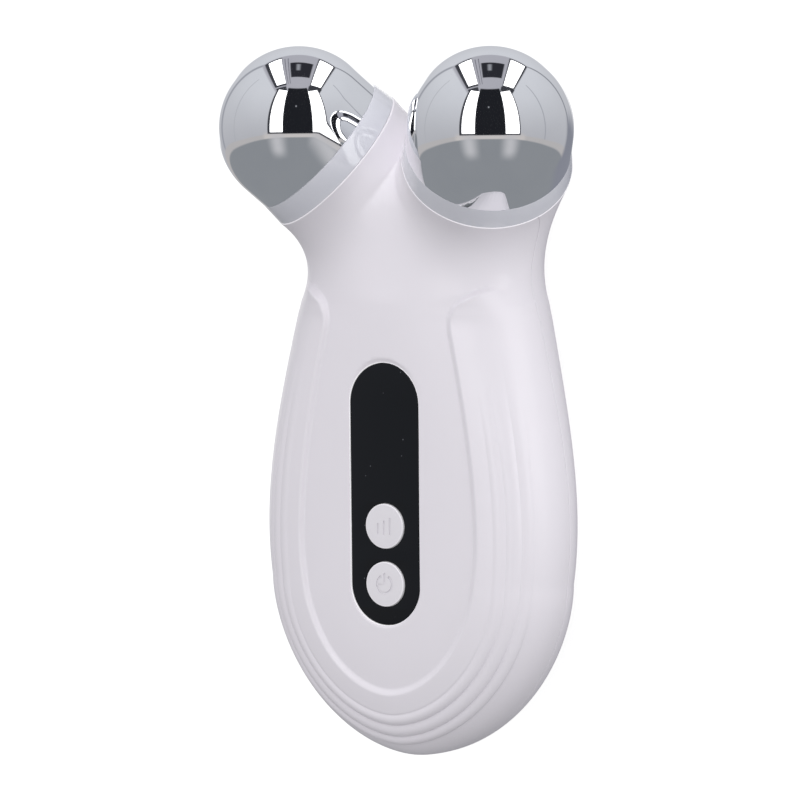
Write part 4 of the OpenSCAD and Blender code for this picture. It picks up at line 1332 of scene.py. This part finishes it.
bend = sum_of("MULTIPLY", rises(sum_of("ABSOLUTE", sum_of("SUBTRACT", longitude, card_middle)), 62, 80), 5)
level_lat = sum_of("ADD", latitude, bend)
room = paint(room, sum_of("SUBTRACT", 1, rises(level_lat, -7.2, 1.5)), side_tan)
room = paint(room, patch(-16, 82, -30, -7, 8), horizon_tan)
room = paint(room, sum_of("SUBTRACT", 1, rises(level_lat, -12.5, 2)), table_grey)
room = paint(room, patch(-190, -150, -25, 1, 12), back_table)
room = paint(room, patch(166, 190, -25, 3, 12), back_table)
for lon in (3, 62):
    room = paint(room, patch(lon - 9, lon + 9, -36, -8, 18), table_glow)
room = paint(room, patch(-10, 75.5, -7.2, top_lat, 1), gap_grey)
room = paint(room, patch(-6.3, 12, -4.9, top_lat, 1.2), white)
room = paint(room, patch(54.4, 73.7, -5.2, top_lat - 1, 1.2), white)
room = paint(room, patch(12, 54.4, -7, 57.5, 2), ink)
room = paint(room, patch(30, 32, 30, 32, 1.5), (0.35, 0.36, 0.39))

# %% [markdown]
# The plain light comes from everywhere, with more of it from above, from the right and from the front of
# the standing device, where the large lamps of such a studio are. Its strength is chosen so that a colour
# renders about as it is written. Two small lamps help it: a low one at the right, which lights the side of
# the rear shell, and one over the fork, which would be dark between the two electrodes.

# %% Light and background
plain_level = 0.82
fork_middle = Vector((0, 0.042, 0.028))
level = plain_level
for axis, share in (("X", 0.22), ("Y", 0.76), ("Z", 0.30)):
    level = sum_of("ADD", sum_of("MULTIPLY", direction.outputs[axis], share*plain_level), level)
plain = air.new("ShaderNodeCombineColor")
for channel in ("Red", "Green", "Blue"):
    air_links.new(level, plain.inputs[channel])
rays = air.new("ShaderNodeLightPath")
seen = air.new("ShaderNodeMix")
seen.data_type = "RGBA"
air_links.new(rays.outputs["Is Glossy Ray"], seen.inputs["Factor"])
air_links.new(plain.outputs["Color"], seen.inputs["A"])
air_links.new(room, seen.inputs["B"])
background = air.new("ShaderNodeBackground")
shown = paint(seen.outputs["Result"], rays.outputs["Is Camera Ray"], (1, 1, 1))
air_links.new(shown, background.inputs["Color"])
air_links.new(background.outputs["Background"], air.new("ShaderNodeOutputWorld").inputs["Surface"])

small_lamps = {"side_lamp": (0.02, 0.075, (0.2, 0.02, 0.013)), "fork_lamp": (0.03, 0.012, (0, 0.104, 0.054))}
for name, (size, energy, place) in small_lamps.items():
    lamp_data = bpy.data.lights.new(name, "AREA")
    lamp_data.shape, lamp_data.size, lamp_data.energy = "DISK", size, energy
    lamp = bpy.data.objects.new(name, lamp_data)
    lamp.location = place
    lamp.rotation_euler = (lamp.location - fork_middle).to_track_quat("Z", "Y").to_euler()
    lamp.visible_glossy = lamp.visible_camera = lamp.visible_transmission = False
    bpy.context.scene.collection.objects.link(lamp)
print("plain level", plain_level)

# %% [markdown]
# ## The floor
# The device lies on a plain white floor. To the camera the floor is white by its own light, and it keeps the
# soft shadow of the device, because a part of its white comes from its surface. The mirrors don't see it.

# %% Floor
bpy.ops.mesh.primitive_plane_add(size=6, location=(0, 0, -0.0002))
floor = bpy.context.object
floor.name = "floor"
floor_finish = bpy.data.materials.new("floor_white")
floor_finish.use_nodes = True
paper = floor_finish.node_tree
shader = paper.nodes["Principled BSDF"]
paper_white, glow_to_camera, glow_to_all = 0.35, 0.7, 0.12
shader.inputs["Base Color"].default_value = (paper_white, paper_white, paper_white, 1)
shader.inputs["Roughness"].default_value = 0.9
shader.inputs["Specular IOR Level"].default_value = 0.0
shader.inputs["Emission Color"].default_value = (1, 1, 1, 1)
floor_rays = paper.nodes.new("ShaderNodeLightPath")
glow_share = paper.nodes.new("ShaderNodeMath")
glow_share.operation = "MULTIPLY_ADD"
glow_share.inputs[1].default_value = glow_to_camera
glow_share.inputs[2].default_value = glow_to_all
paper.links.new(floor_rays.outputs["Is Camera Ray"], glow_share.inputs[0])
paper.links.new(glow_share.outputs["Value"], shader.inputs["Emission Strength"])
floor.data.materials.append(floor_finish)
floor.visible_glossy = False

# %% [markdown]
# ## Last look
# The scene keeps the standard view transform, so that colours come out as they are written.

# %% View
bpy.context.scene.view_settings.view_transform = "Standard"
